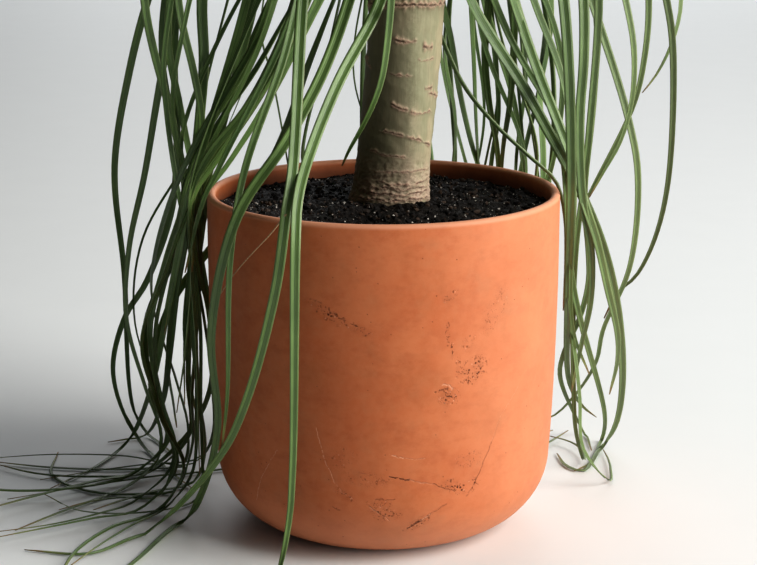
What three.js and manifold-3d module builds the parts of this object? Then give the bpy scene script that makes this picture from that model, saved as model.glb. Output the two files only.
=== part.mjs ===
// A potted ponytail palm: a terracotta pot with a rounded foot, potting soil, a leaning ringed
// trunk and a head of long narrow leaves that arch, hang down outside the pot and trail.
// Millimetres, +Z up. The origin is the centre of the pot's flat foot.
import * as THREE from "three";
import { mergeVertices } from "three/addons/utils/BufferGeometryUtils.js";
import Module from "manifold-3d";

const wasm = await Module();
wasm.setup();

// Clearance between pieces that touch.
const GAP = 0.3;

// Pot
const POT_RADIUS = 100;
const POT_HEIGHT = 193.4;
const POT_WALL = 5;
const POT_LOW_RADIUS = 96.8;
const FOOT_FILLET = 41.7;
const WALL_SWELL = 3.41;
const DRAIN_RADIUS = 5;
const DRAIN_RING = 30;
const DRAIN_COUNT = 3;
const POT_SIDES = 48;

// Soil
const SOIL_HEIGHT = 183;
const SOIL_MOUND = 3.5;
const SOIL_LUMP = 1.1;

// Trunk: the centre of its foot at soil height, its middle and its top
const TRUNK_FOOT = [3, 12, SOIL_HEIGHT];
const TRUNK_MIDDLE = [11, 10.5, 285];
const TRUNK_TOP = [14, 8, 350];
const TRUNK_BOTTOM = 112;
const TRUNK_RADIUS = 21;
const TRUNK_FLARE = 5.5;
const TRUNK_SIDES = 18;
const RING_HEIGHTS = [200, 213.5, 221, 230, 240, 251.5, 259.5, 268, 277, 297.5, 313, 326, 339];
const RING_RISE = 0.9;
const RING_HALF_WIDTH = 1.7;

// Leaf head
const CORE_HEIGHT = 64;
const CORE_RADIUS = 19;
const CORE_TAPER = 0.45;
const ROOT_SUNK = 5;
const GROWN_LEAVES = 72;
const YOUNG_LEAVES = 18;
const GOLDEN_ANGLE = 137.508;
const FLOOR_HEIGHT = 1.2;
const LEAF_WIDTH = 3.5;
const FRONT_LEAF_WIDTH = 4.8;
const LEAST_WIDTH = 0.8;
const LEAST_THICKNESS = 0.6;
const ROUTE_STEPS = 10;
const CHORD_ERROR = 2.5;
const LAYERS = 5;

// Where the leaves of each share of the crown hang: [share of a turn back from the front, side
// of the pot in degrees from +X]. The front of the pot stays open.
const COMBED = [
  [0, 206],
  [0.15, 180],
  [0.36, 144],
  [0.58, 104],
  [0.84, 56],
  [1, 24],
];
const FRONT = 270;
const LEFT_SIDE = 126;

// Heights at which a hanging leaf's line is bent a little.
const BEND_HEIGHTS = [285, 240, 195, 150, 105, 60, 28];

// Leaves whose place is fixed, each from where it comes down past the trunk to its tip.
const PLACED_LEAVES = [
  // in front of the pot
  { width: FRONT_LEAF_WIDTH, points: [[-2, -18, 299], [-24, -48, 260], [-39, -80, 225],
    [-44, -98, 206], [-45, -106, 186], [-48, -104, 62], [-51, -103, 28], [-58, -112, 1],
    [-69, -134, 1]] },
  { width: FRONT_LEAF_WIDTH, points: [[-42, -62, 305], [-47, -88, 219], [-50, -99, 199],
    [-56, -101, 159], [-73, -90, 96], [-90, -74, 58], [-137, -45, 1], [-163, -72, 1],
    [-200, -67, 1]] },
  { width: FRONT_LEAF_WIDTH, points: [[-18, -40, 303], [-32, -55, 266], [-51, -70, 232],
    [-76, -83, 195], [-92, -73, 130], [-91, -60, 72], [-103, -40, 25], [-116, -25, 1],
    [-138, -88, 1], [-155, -122, 1]] },
  { width: LEAF_WIDTH, points: [[-45, -50, 304], [-53, -58, 273], [-73, -72, 217],
    [-81, -78, 170], [-84, -79, 95], [-88, -76, 63]] },
  { width: LEAF_WIDTH, points: [[4, -22, 301], [2, -21, 277], [-2, -15, 256], [-9, -2, 237],
    [-17, 22, 219], [-21, 46, 206]] },
  // right of the pot
  { width: FRONT_LEAF_WIDTH, points: [[48, 5, 299], [85, 12, 240], [129, 38, 155],
    [147, 64, 83], [150, 96, 23], [142, 105, 1], [125, 62, 1], [116, 71, 1], [112, 95, 1]] },
  { width: LEAF_WIDTH, points: [[72, 10, 299], [102, 22, 218], [113, 42, 129], [143, 102, 25],
    [144, 121, 1], [131, 76, 1], [120, 62, 1]] },
  { width: FRONT_LEAF_WIDTH, points: [[97, -25, 302], [101, -24, 263], [105, -14, 200],
    [107, 4, 162], [110, 34, 119], [120, 104, 46], [131, 124, 24], [142, 136, 12]] },
  { width: LEAF_WIDTH, points: [[116, 10, 299], [140, 22, 232], [148, 28, 197],
    [148, 46, 138], [136, 70, 91], [134, 84, 66], [123, 106, 36], [111, 112, 21],
    [96, 118, 13]] },
  { width: LEAF_WIDTH, points: [[151, 30, 297], [151, 40, 261], [147, 52, 232],
    [124, 74, 172], [117, 82, 148]] },
  { width: LEAF_WIDTH, points: [[158, 10, 299], [164, 18, 271], [168, 40, 191],
    [163, 52, 152], [154, 62, 127], [144, 68, 115], [137, 74, 97]] },
  { width: LEAF_WIDTH, points: [[119, 0, 299], [117, 10, 222], [116, 18, 188], [121, 30, 151],
    [123, 42, 129], [120, 58, 102], [113, 78, 74], [113, 96, 52], [134, 133, 1],
    [135, 101, 1]] },
  // left of the pot
  { width: LEAF_WIDTH, points: [[-133, 20, 298], [-146, 30, 257], [-160, 52, 197],
    [-162, 88, 124], [-166, 138, 15], [-155, 128, 1], [-131, 85, 1]] },
  { width: LEAF_WIDTH, points: [[-116, 20, 298], [-120, 28, 263], [-121, 40, 214],
    [-127, 54, 170], [-146, 74, 121], [-162, 88, 95], [-173, 102, 62], [-174, 116, 36],
    [-168, 118, 16], [-154, 101, 1], [-134, 61, 1], [-117, 31, 1]] },
  { width: LEAF_WIDTH, points: [[-131, -10, 300], [-117, 14, 213], [-105, 60, 80],
    [-111, 72, 44], [-127, 74, 17], [-160, 27, 1], [-190, -9, 1], [-211, -38, 1]] },
];

const UP = new THREE.Vector3(0, 0, 1);

// Solids

// A body as a manifold from a closed geometry whose corners are merged.
function solidOf(geometry) {
  geometry.deleteAttribute("normal");
  geometry.deleteAttribute("uv");
  const merged = mergeVertices(geometry);
  const faces = [];
  for (let k = 0; k < merged.index.count; k += 3) {
    const [a, b, c] = merged.index.array.subarray(k, k + 3);
    if (a !== b && b !== c && c !== a) faces.push(a, b, c);
  }
  return new wasm.Manifold(new wasm.Mesh({
    numProp: 3,
    vertProperties: merged.attributes.position.array,
    triVerts: new Uint32Array(faces),
  }));
}

// A closed body through a row of sections that all have the same number of corners.
function loft(sections) {
  const sides = sections[0].length;
  const corners = sections.flat().flatMap((p) => [p.x, p.y, p.z]);
  const faces = [];
  for (let k = 0; k < sections.length - 1; k += 1) {
    for (let j = 0; j < sides; j += 1) {
      const a = k * sides + j;
      const b = k * sides + ((j + 1) % sides);
      faces.push(a, b, b + sides, a, b + sides, a + sides);
    }
  }
  const last = (sections.length - 1) * sides;
  for (let j = 1; j < sides - 1; j += 1) {
    faces.push(0, j + 1, j, last, last + j, last + j + 1);
  }
  return new wasm.Manifold(new wasm.Mesh({
    numProp: 3,
    vertProperties: new Float32Array(corners),
    triVerts: new Uint32Array(faces),
  }));
}

// A turned body from [radius, height] pairs that start and end on the axis.
function turned(profile) {
  const points = profile.map(([radius, height]) => new THREE.Vector2(radius, height));
  return solidOf(new THREE.LatheGeometry(points, POT_SIDES).rotateX(Math.PI / 2));
}

function meshOf(name, solid, material) {
  const { vertProperties, triVerts } = solid.getMesh();
  const geometry = new THREE.BufferGeometry();
  geometry.setAttribute("position", new THREE.BufferAttribute(vertProperties, 3));
  geometry.setIndex(new THREE.BufferAttribute(triVerts, 1));
  geometry.computeVertexNormals();
  const mesh = new THREE.Mesh(geometry, material);
  mesh.name = name;
  return mesh;
}

// Small tools for curves

// A seeded draw between two values: the same piece and the same question give the same answer.
function draw(piece, question, low, high) {
  const wave = Math.sin(piece * 127.1 + question * 311.7 + 17.3) * 43758.5453;
  return low + (high - low) * (wave - Math.floor(wave));
}

function clamp01(x) {
  return Math.min(1, Math.max(0, x));
}

function smoothStep(x) {
  const t = clamp01(x);
  return t * t * (3 - 2 * t);
}

function radians(degrees) {
  return (degrees * Math.PI) / 180;
}

// A point at an angle and a distance from the pot's axis.
function polar(angle, distance, height) {
  const turn = radians(angle);
  return new THREE.Vector3(distance * Math.cos(turn), distance * Math.sin(turn), height);
}

// Pot: a quarter round foot, a wall that swells a little, and a half round lip.

function wallRadius(height) {
  const share = (height - FOOT_FILLET) / (POT_HEIGHT - FOOT_FILLET);
  return POT_LOW_RADIUS + (POT_RADIUS - POT_LOW_RADIUS) * (1 - (1 - share) ** WALL_SWELL);
}

// The foot's curve and the wall, `inset` inside the pot's outer face, up to a height.
function wallProfile(inset, top) {
  const arcSteps = 6;
  const wallSteps = 4;
  const points = [[0, inset]];
  for (let k = 0; k <= arcSteps; k += 1) {
    const turn = (Math.PI / 2) * (k / arcSteps);
    const reach = FOOT_FILLET - inset;
    points.push([
      POT_LOW_RADIUS - FOOT_FILLET + reach * Math.sin(turn),
      FOOT_FILLET - reach * Math.cos(turn),
    ]);
  }
  for (let k = 1; k <= wallSteps; k += 1) {
    const height = FOOT_FILLET + (top - FOOT_FILLET) * (k / wallSteps);
    points.push([wallRadius(height) - inset, height]);
  }
  return points;
}

function pot() {
  const lip = POT_WALL / 2;
  const lipHeight = POT_HEIGHT - lip;
  const lipSteps = 5;
  const profile = wallProfile(0, lipHeight);
  for (let k = 1; k < lipSteps; k += 1) {
    const turn = Math.PI * (k / lipSteps);
    profile.push([wallRadius(lipHeight) - lip + lip * Math.cos(turn), lipHeight + lip * Math.sin(turn)]);
  }
  profile.push(...wallProfile(POT_WALL, lipHeight).reverse());
  let body = turned(profile);
  for (let k = 0; k < DRAIN_COUNT; k += 1) {
    const hole = new THREE.CylinderGeometry(DRAIN_RADIUS, DRAIN_RADIUS, POT_WALL * 3, 16);
    const place = polar(90 + (360 / DRAIN_COUNT) * k, DRAIN_RING, POT_WALL / 2);
    body = body.subtract(solidOf(hole.rotateX(Math.PI / 2).translate(place.x, place.y, place.z)));
  }
  const clay = new THREE.MeshStandardMaterial({ color: 0xc9764a, roughness: 0.55, metalness: 0 });
  return meshOf("pot", body, clay);
}

// Soil: it fills the pot below the rim, rises a little to the trunk and is slightly lumpy.

function soilTop(x, y) {
  const mound = SOIL_MOUND * (1 - Math.hypot(x, y) / POT_RADIUS);
  const lumps = Math.sin(x * 0.13 + 1.1) * Math.cos(y * 0.11 - 0.4) + 0.5 * Math.sin(x * 0.31 - y * 0.27);
  return SOIL_HEIGHT + mound + SOIL_LUMP * lumps;
}

function soil() {
  const rings = 5;
  const edge = SOIL_HEIGHT;
  const profile = wallProfile(POT_WALL + GAP, edge);
  const rim = profile.at(-1)[0];
  for (let k = 1; k <= rings; k += 1) {
    profile.push([rim * (1 - k / rings), edge]);
  }
  const points = profile.map(([radius, height]) => new THREE.Vector2(radius, height));
  const geometry = new THREE.LatheGeometry(points, POT_SIDES).rotateX(Math.PI / 2);
  const place = geometry.attributes.position;
  for (let k = 0; k < place.count; k += 1) {
    if (Math.abs(place.getZ(k) - edge) < GAP) {
      place.setZ(k, soilTop(place.getX(k), place.getY(k)));
    }
  }
  const body = solidOf(geometry).subtract(trunkBody(GAP));
  const peat = new THREE.MeshStandardMaterial({ color: 0x241a15, roughness: 1, metalness: 0 });
  return meshOf("soil", body, peat);
}

// Trunk: it leans, is flared at the soil, has a blunt foot in the soil and raised leaf scars.

const trunkLine = new THREE.QuadraticBezierCurve3(
  new THREE.Vector3(...TRUNK_FOOT),
  new THREE.Vector3(...TRUNK_MIDDLE).multiplyScalar(2)
    .sub(new THREE.Vector3(...TRUNK_FOOT).add(new THREE.Vector3(...TRUNK_TOP)).multiplyScalar(0.5)),
  new THREE.Vector3(...TRUNK_TOP),
);

function trunkCentre(height) {
  const share = clamp01((height - TRUNK_FOOT[2]) / (TRUNK_TOP[2] - TRUNK_FOOT[2]));
  const point = trunkLine.getPoint(share);
  return new THREE.Vector3(point.x, point.y, height);
}

function trunkRadius(height) {
  const flare = TRUNK_FLARE * Math.exp(-(((height - SOIL_HEIGHT + 6) / 17) ** 2));
  const blunt = Math.sqrt(clamp01((height - TRUNK_BOTTOM + 3) / 26));
  const rings = RING_HEIGHTS.map((ring) => Math.exp(-(((height - ring) / RING_HALF_WIDTH) ** 2)));
  return (TRUNK_RADIUS + flare) * blunt + RING_RISE * Math.max(...rings);
}

// The trunk's body, `grown` larger all round where it is used to cut its hole in the soil.
function trunkBody(grown) {
  const scars = RING_HEIGHTS.flatMap((ring) => [ring - 2 * RING_HALF_WIDTH, ring, ring + 2 * RING_HALF_WIDTH]);
  const buried = [TRUNK_BOTTOM - grown, 116, 124, 138, 155, 170, 180, 187, 193];
  const heights = [...buried, ...scars, TRUNK_TOP[2]].sort((a, b) => a - b);
  const sections = heights.map((height) => {
    const centre = trunkCentre(height);
    const corners = [];
    for (let j = 0; j < TRUNK_SIDES; j += 1) {
      const angle = (360 / TRUNK_SIDES) * j;
      const knobbly = 0.35 * Math.sin(radians(3 * angle) + height * 0.05);
      corners.push(polar(angle, trunkRadius(height) + knobbly + grown, 0).add(centre));
    }
    return corners;
  });
  return loft(sections);
}

function trunk() {
  const bark = new THREE.MeshStandardMaterial({ color: 0xa39c80, roughness: 0.85, metalness: 0 });
  return meshOf("trunk", trunkBody(0), bark);
}

// Leaf head: a short core on the trunk, with every leaf fused to it.

function coreRadius(share) {
  return CORE_RADIUS * (1 - CORE_TAPER * share);
}

function core() {
  const [x, y, z] = TRUNK_TOP;
  const rings = 4;
  const profile = [[0, GAP]];
  for (let k = 0; k <= rings; k += 1) {
    profile.push([coreRadius(k / rings), GAP + (CORE_HEIGHT - GAP) * (k / rings)]);
  }
  profile.push([coreRadius(1) * 0.6, CORE_HEIGHT + 5], [0, CORE_HEIGHT + 7]);
  const points = profile.map(([radius, height]) => new THREE.Vector2(radius, height));
  return solidOf(new THREE.LatheGeometry(points, 16).rotateX(Math.PI / 2).translate(x, y, z));
}

// The root of a leaf on the core, at an angle and a share of the core's height.
function rootAt(angle, share) {
  const height = ROOT_SUNK - 1 + (CORE_HEIGHT - 8) * share;
  return polar(angle, coreRadius(share) - ROOT_SUNK, height).add(new THREE.Vector3(...TRUNK_TOP));
}

// A direction from its angle round the trunk and its rise above level.
function heading(angle, rise) {
  return polar(angle, Math.cos(radians(rise)), Math.sin(radians(rise)));
}

// Points of a leaf's first stretch, from its root over its highest point to `end`.
function archPoints(root, launch, end, lean) {
  const curve = new THREE.CubicBezierCurve3(root, root.clone().add(launch), end.clone().add(lean), end);
  return [0, 0.16, 0.34, 0.55, 0.78, 1].map((share) => curve.getPoint(share));
}

// A smooth line through a leaf's points that stays off the trunk.
function smoothRoute(points) {
  const curve = new THREE.CatmullRomCurve3(points, false, "centripetal");
  const route = curve.getPoints(ROUTE_STEPS * (points.length - 1));
  for (const point of route) {
    const near = smoothStep((TRUNK_TOP[2] + 6 - point.z) / 12);
    pushOut(point, trunkCentre(point.z), near * (TRUNK_RADIUS + 4));
  }
  return route;
}

// Moves a point level away from an upright axis, softly, to at least a distance.
function pushOut(point, axis, least) {
  const soft = 3;
  const reach = Math.hypot(point.x - axis.x, point.y - axis.y);
  if (reach > least + 3 * soft) return;
  const pushed = least + soft * Math.log1p(Math.exp((reach - least) / soft));
  point.x = axis.x + ((point.x - axis.x) * pushed) / reach;
  point.y = axis.y + ((point.y - axis.y) * pushed) / reach;
}

// The side of the pot on which a leaf that starts at `angle` is combed to hang.
function combedSide(angle) {
  const turn = ((((FRONT - angle) % 360) + 360) % 360) / 360;
  const next = COMBED.findIndex(([share]) => turn <= share);
  const [shareA, sideA] = COMBED[Math.max(0, next - 1)];
  const [shareB, sideB] = COMBED[Math.max(1, next)];
  return sideA + ((sideB - sideA) * (turn - shareA)) / (shareB - shareA);
}

// A leaf of the grown rosette: the oldest, at share 0, hang low and the youngest arch highest.
function grownLeaf(leaf) {
  const share = (leaf + 0.5) / GROWN_LEAVES;
  const angle = leaf * GOLDEN_ANGLE;
  const side = combedSide(angle) + draw(leaf, 1, -9, 9);
  const left = side > LEFT_SIDE;
  const archEnd = 165 + 135 * share + draw(leaf, 3, -22, 22);
  const reach = left ? draw(leaf, 4, 108, 140 + 26 * share) : draw(leaf, 4, 112, 134 + 24 * share);
  const rise = 4 + 70 * share ** 0.95 + draw(leaf, 2, -7, 7);
  const points = archPoints(
    rootAt(angle, share),
    heading(angle, rise).multiplyScalar(50 + 105 * share),
    polar(side, reach, archEnd),
    polar(side, -0.25 - 0.35 * (1 - share), 1).multiplyScalar(60 + 60 * share),
  );
  const phase = draw(leaf, 5, 0, 6.28);
  const sway = draw(leaf, 6, 3, 15);
  const waves = draw(leaf, 7, 2.5, 6.5);
  const gathered = left ? draw(leaf, 8, 130, 176) : side + draw(leaf, 8, -14, 14);
  const drawnIn = draw(leaf, 9, 108, 145);
  let angleNow = side;
  let reachNow = reach;
  for (const height of BEND_HEIGHTS) {
    const down = (BEND_HEIGHTS[0] - height) / (BEND_HEIGHTS[0] - BEND_HEIGHTS.at(-1));
    const pull = clamp01((archEnd - height) / 120);
    angleNow = side + (gathered - side) * pull * (left ? 0.75 : 1)
      + sway * 0.5 * Math.sin(phase + down * waves) * pull;
    reachNow = reach + sway * Math.sin(phase * 1.7 + down * waves * 1.2) * pull;
    if (left) {
      reachNow += (drawnIn - reach) * 0.8 * pull * Math.sin(Math.PI * Math.min(1, down * 1.15));
    }
    if (height < archEnd - 22) {
      points.push(polar(angleNow, Math.max(reachNow, POT_RADIUS + 7), height));
    }
  }
  const lands = draw(leaf, 10, 0, 1) < (left ? 0.55 : 0.45);
  if (lands) points.push(...trailPoints(leaf, left, angleNow, reachNow));
  else points.splice(points.length - Math.floor(draw(leaf, 16, 0, 4.4)));
  return clearOfPot(smoothRoute(points));
}

// The stretch of a leaf that lies on the surface.
function trailPoints(leaf, left, angle, reach) {
  const height = FLOOR_HEIGHT * (1 + (leaf % LAYERS));
  const point = polar(angle + draw(leaf, 11, -4, 4), reach + draw(leaf, 12, 8, 24), height);
  const curl = draw(leaf, 14, -50, 50);
  const length = left ? draw(leaf, 15, 36, 150) : draw(leaf, 15, 10, 50);
  const steps = 3;
  const points = [point.clone()];
  let way = left ? angle + draw(leaf, 13, 5, 75) : angle + draw(leaf, 13, -60, 80);
  for (let k = 0; k < steps; k += 1) {
    point.add(heading(way, 0).multiplyScalar(length / steps));
    points.push(point.clone());
    way += left && curl > 0 ? curl * 0.4 : curl;
  }
  return points;
}

// A leaf with a fixed place: an arch from the core to its first point, then its own points.
function placedLeaf({ points }) {
  const route = points.map((point) => new THREE.Vector3(...point));
  const [first, second] = route;
  const away = first.clone().sub(new THREE.Vector3(...TRUNK_TOP)).setZ(0);
  const share = Math.min(0.75, Math.max(0.04, away.length() / 210));
  const angle = THREE.MathUtils.radToDeg(Math.atan2(away.y, away.x));
  const root = rootAt(angle, share);
  const span = first.distanceTo(root);
  const lean = first.clone().sub(second).normalize().multiplyScalar(span * 0.6);
  const arch = archPoints(root, heading(angle, 12 + 60 * share).multiplyScalar(span * 0.55), first, lean);
  return smoothRoute([...arch, ...route.slice(1)]);
}

// A young leaf: short and nearly upright, at the top of the core.
function youngLeaf(leaf) {
  const share = (leaf + 0.5) / YOUNG_LEAVES;
  const angle = leaf * GOLDEN_ANGLE + 40;
  const root = rootAt(angle, 0.8 + 0.2 * share);
  const length = draw(leaf, 31, 90, 170) * (1 - 0.45 * share);
  const way = heading(angle, 58 + 30 * share + draw(leaf, 32, -6, 6));
  const aside = heading(angle + draw(leaf, 33, -30, 30), 0).multiplyScalar(1 - share);
  const points = [[0, 0, 0], [0.5, 0, 0], [0.85, 0.12, 0.02], [1.05, 0.36, 0.16]].map(
    ([along, across, drop]) => root.clone()
      .addScaledVector(way, along * length)
      .addScaledVector(aside, across * length)
      .addScaledVector(UP, -drop * length * (1 - share)),
  );
  return smoothRoute(points);
}

// A hanging line kept outside the pot and its rim.
function clearOfPot(points) {
  const axis = new THREE.Vector3();
  for (const point of points) {
    if (point.z < 240) pushOut(point, axis, POT_RADIUS + 5 - 62 * smoothStep((point.z - 196) / 44));
  }
  return points;
}

// The fewest points that keep a line within an error of its full route.
function fewest(points, first, last, error) {
  const chord = new THREE.Line3(points[first], points[last]);
  const foot = new THREE.Vector3();
  let worst = error;
  let split = 0;
  for (let k = first + 1; k < last; k += 1) {
    const away = chord.closestPointToPoint(points[k], true, foot).distanceTo(points[k]);
    if (away > worst) [worst, split] = [away, k];
  }
  if (split === 0) return [first];
  return [...fewest(points, first, split, error), ...fewest(points, split, last, error)];
}

// A leaf's body: a three-sided blade, flat above and keeled below, that twists as it goes.
function blade(points, width, twist) {
  const lengths = [0];
  for (let k = 1; k < points.length; k += 1) {
    lengths.push(lengths[k - 1] + points[k].distanceTo(points[k - 1]));
  }
  const whole = lengths.at(-1);
  const kept = new Set([...fewest(points, 0, points.length - 1, CHORD_ERROR), points.length - 1]);
  const sections = [];
  let carried = null;
  for (let k = 0; k < points.length; k += 1) {
    const along = points[Math.min(k + 1, points.length - 1)].clone().sub(points[Math.max(k - 1, 0)]).normalize();
    carried = (carried ?? new THREE.Vector3().crossVectors(UP, along)).projectOnPlane(along).normalize();
    if (!kept.has(k)) continue;
    const side = carried.clone().applyAxisAngle(along, (twist * lengths[k]) / whole);
    const lying = smoothStep((24 - points[k].z) / 20);
    const flat = new THREE.Vector3().crossVectors(UP, along).normalize();
    if (flat.dot(side) < 0) flat.negate();
    side.lerp(flat, lying).projectOnPlane(along).normalize();
    const over = new THREE.Vector3().crossVectors(along, side);
    const wide = bladeWidth(width, lengths[k], whole);
    const thick = Math.max(LEAST_THICKNESS, 0.2 * wide);
    const middle = points[k].clone();
    middle.z = Math.max(middle.z, FLOOR_HEIGHT);
    sections.push([
      middle.clone().addScaledVector(side, wide / 2).addScaledVector(over, thick / 3),
      middle.clone().addScaledVector(side, -wide / 2).addScaledVector(over, thick / 3),
      middle.clone().addScaledVector(over, (-2 * thick) / 3),
    ]);
  }
  return loft(sections);
}

// Widest at the root, even along the blade and drawn out to a fine tip.
function bladeWidth(width, along, whole) {
  const root = 1 + 0.5 * Math.exp(-along / 25);
  const tip = Math.min(1, ((whole - along) / 150) ** 0.6);
  return Math.max(LEAST_WIDTH, width * root * tip);
}

function leafHead() {
  const blades = [core()];
  PLACED_LEAVES.forEach((leaf, k) => {
    blades.push(blade(placedLeaf(leaf), leaf.width, draw(k, 41, -1.2, 1.2)));
  });
  for (let k = 0; k < GROWN_LEAVES; k += 1) {
    blades.push(blade(grownLeaf(k), LEAF_WIDTH * draw(k, 42, 0.85, 1.15), draw(k, 43, -4, 4)));
  }
  for (let k = 0; k < YOUNG_LEAVES; k += 1) {
    blades.push(blade(youngLeaf(k), LEAF_WIDTH * draw(k, 44, 0.8, 1.05), draw(k, 45, -0.6, 0.6)));
  }
  const joined = blades.reduce((whole, each) => whole.add(each));
  const shells = joined.decompose().sort((a, b) => b.volume() - a.volume());
  const green = new THREE.MeshStandardMaterial({ color: 0x3f6a38, roughness: 0.5, metalness: 0 });
  return meshOf("leaf_head", shells[0], green);
}

const palm = new THREE.Group();
palm.add(pot(), soil(), trunk(), leafHead());

export default palm;
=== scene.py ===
import math

import bpy
import numpy as np
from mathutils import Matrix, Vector, noise


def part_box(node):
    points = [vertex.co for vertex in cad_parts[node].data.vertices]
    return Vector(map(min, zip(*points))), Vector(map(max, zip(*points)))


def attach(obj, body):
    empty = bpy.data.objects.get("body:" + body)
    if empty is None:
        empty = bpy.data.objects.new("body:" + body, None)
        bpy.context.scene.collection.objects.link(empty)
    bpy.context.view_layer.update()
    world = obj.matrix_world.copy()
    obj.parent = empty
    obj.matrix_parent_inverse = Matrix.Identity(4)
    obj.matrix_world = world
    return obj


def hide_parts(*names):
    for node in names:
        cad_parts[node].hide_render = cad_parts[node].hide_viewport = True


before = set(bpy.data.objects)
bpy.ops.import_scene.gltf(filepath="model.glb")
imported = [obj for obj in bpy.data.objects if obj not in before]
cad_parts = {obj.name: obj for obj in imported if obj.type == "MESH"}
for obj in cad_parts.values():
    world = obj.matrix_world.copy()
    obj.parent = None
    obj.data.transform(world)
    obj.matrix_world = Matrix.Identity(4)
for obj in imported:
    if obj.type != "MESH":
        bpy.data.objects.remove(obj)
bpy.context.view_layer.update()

bl_info = {
    "name": "Potted ponytail palm",
    "version": (1, 0, 0),
    "blender": (4, 5, 0),
    "location": "3D Viewport > Sidebar > Palm",
    "description": "Dresses a ponytail palm in a clay pot: pot, soil, ringed trunk and hanging leaves",
    "category": "Add Mesh",
}

MM = 0.001

# Pot, in millimetres
POT_LOW, POT_HIGH = (np.array(corner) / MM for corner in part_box("pot"))
POT_RADIUS = (POT_HIGH[0] - POT_LOW[0]) / 2
POT_HEIGHT = POT_HIGH[2]
POT_LOW_RADIUS = 0.968 * POT_RADIUS
FOOT_FILLET = 0.417 * POT_RADIUS
WALL_SWELL = 3.41
POT_WALL = 5.0
DRAIN_RADIUS = 5.0
DRAIN_RING = 30.0
DRAIN_COUNT = 3
FLAT_FOOT = 2.0
UNEVEN_SPAN = 55.0
MARK_STRAY = 2.6

# Soil
SOIL_HEIGHT = 183.0
SOIL_MOUND = 3.5
SOIL_LUMP = 1.1
RIM_MARGIN = 1.5
TRUNK_MARGIN = 5.0
GAP = 0.3

# Trunk: the centre of its foot at soil height, its middle and its top
TRUNK_FOOT = np.array([3.0, 12.0, SOIL_HEIGHT])
TRUNK_MIDDLE = np.array([11.0, 10.5, 285.0])
TRUNK_TOP = np.array([14.0, 8.0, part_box("trunk")[1].z / MM])
TRUNK_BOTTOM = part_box("trunk")[0].z / MM
TRUNK_RADIUS = 21.0
TRUNK_FLARE = 2.6
FLAKY_BELOW = 216.0

# Leaf head: its core, the leaves on it and how they fall
CORE_HEIGHT = 64.0
CORE_RADIUS = 19.0
CORE_TAPER = 0.45
ROOT_SUNK = 5.0
GROWN_LEAVES = 58
YOUNG_LEAVES = 18
GOLDEN_ANGLE = 137.508
FLOOR_HEIGHT = 1.2
LAYERS = 5
ROUTE_STEPS = 10
LEAST_WIDTH = 0.8
LEAF_TAPER = 0.38
FACED_AT = 0.35
MOST_TURN = 80.0
# Share of a turn from the front at which a leaf starts, and the side on which it hangs
COMBED = ((0, 206), (0.18, 188), (0.36, 164), (0.48, 120), (0.6, 84), (0.84, 52), (1, 26))
FRONT = 270.0
LEFT_SIDE = 126.0
BEND_HEIGHTS = (285, 240, 195, 150, 105, 60, 28)
TRUNK_BERTH = 4.0
POT_BERTH = 5.0
BESIDE_POT = 196.0
FREE_OF_POT = 240.0
OVER_RIM = 62.0
ARCH_SHARES = (0, 0.16, 0.34, 0.55, 0.78, 1)

# A young leaf's bend: shares of its length along it, aside and down
YOUNG_BEND = ((0, 0, 0), (0.5, 0, 0), (0.85, 0.12, 0.02), (1.05, 0.36, 0.16))

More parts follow.
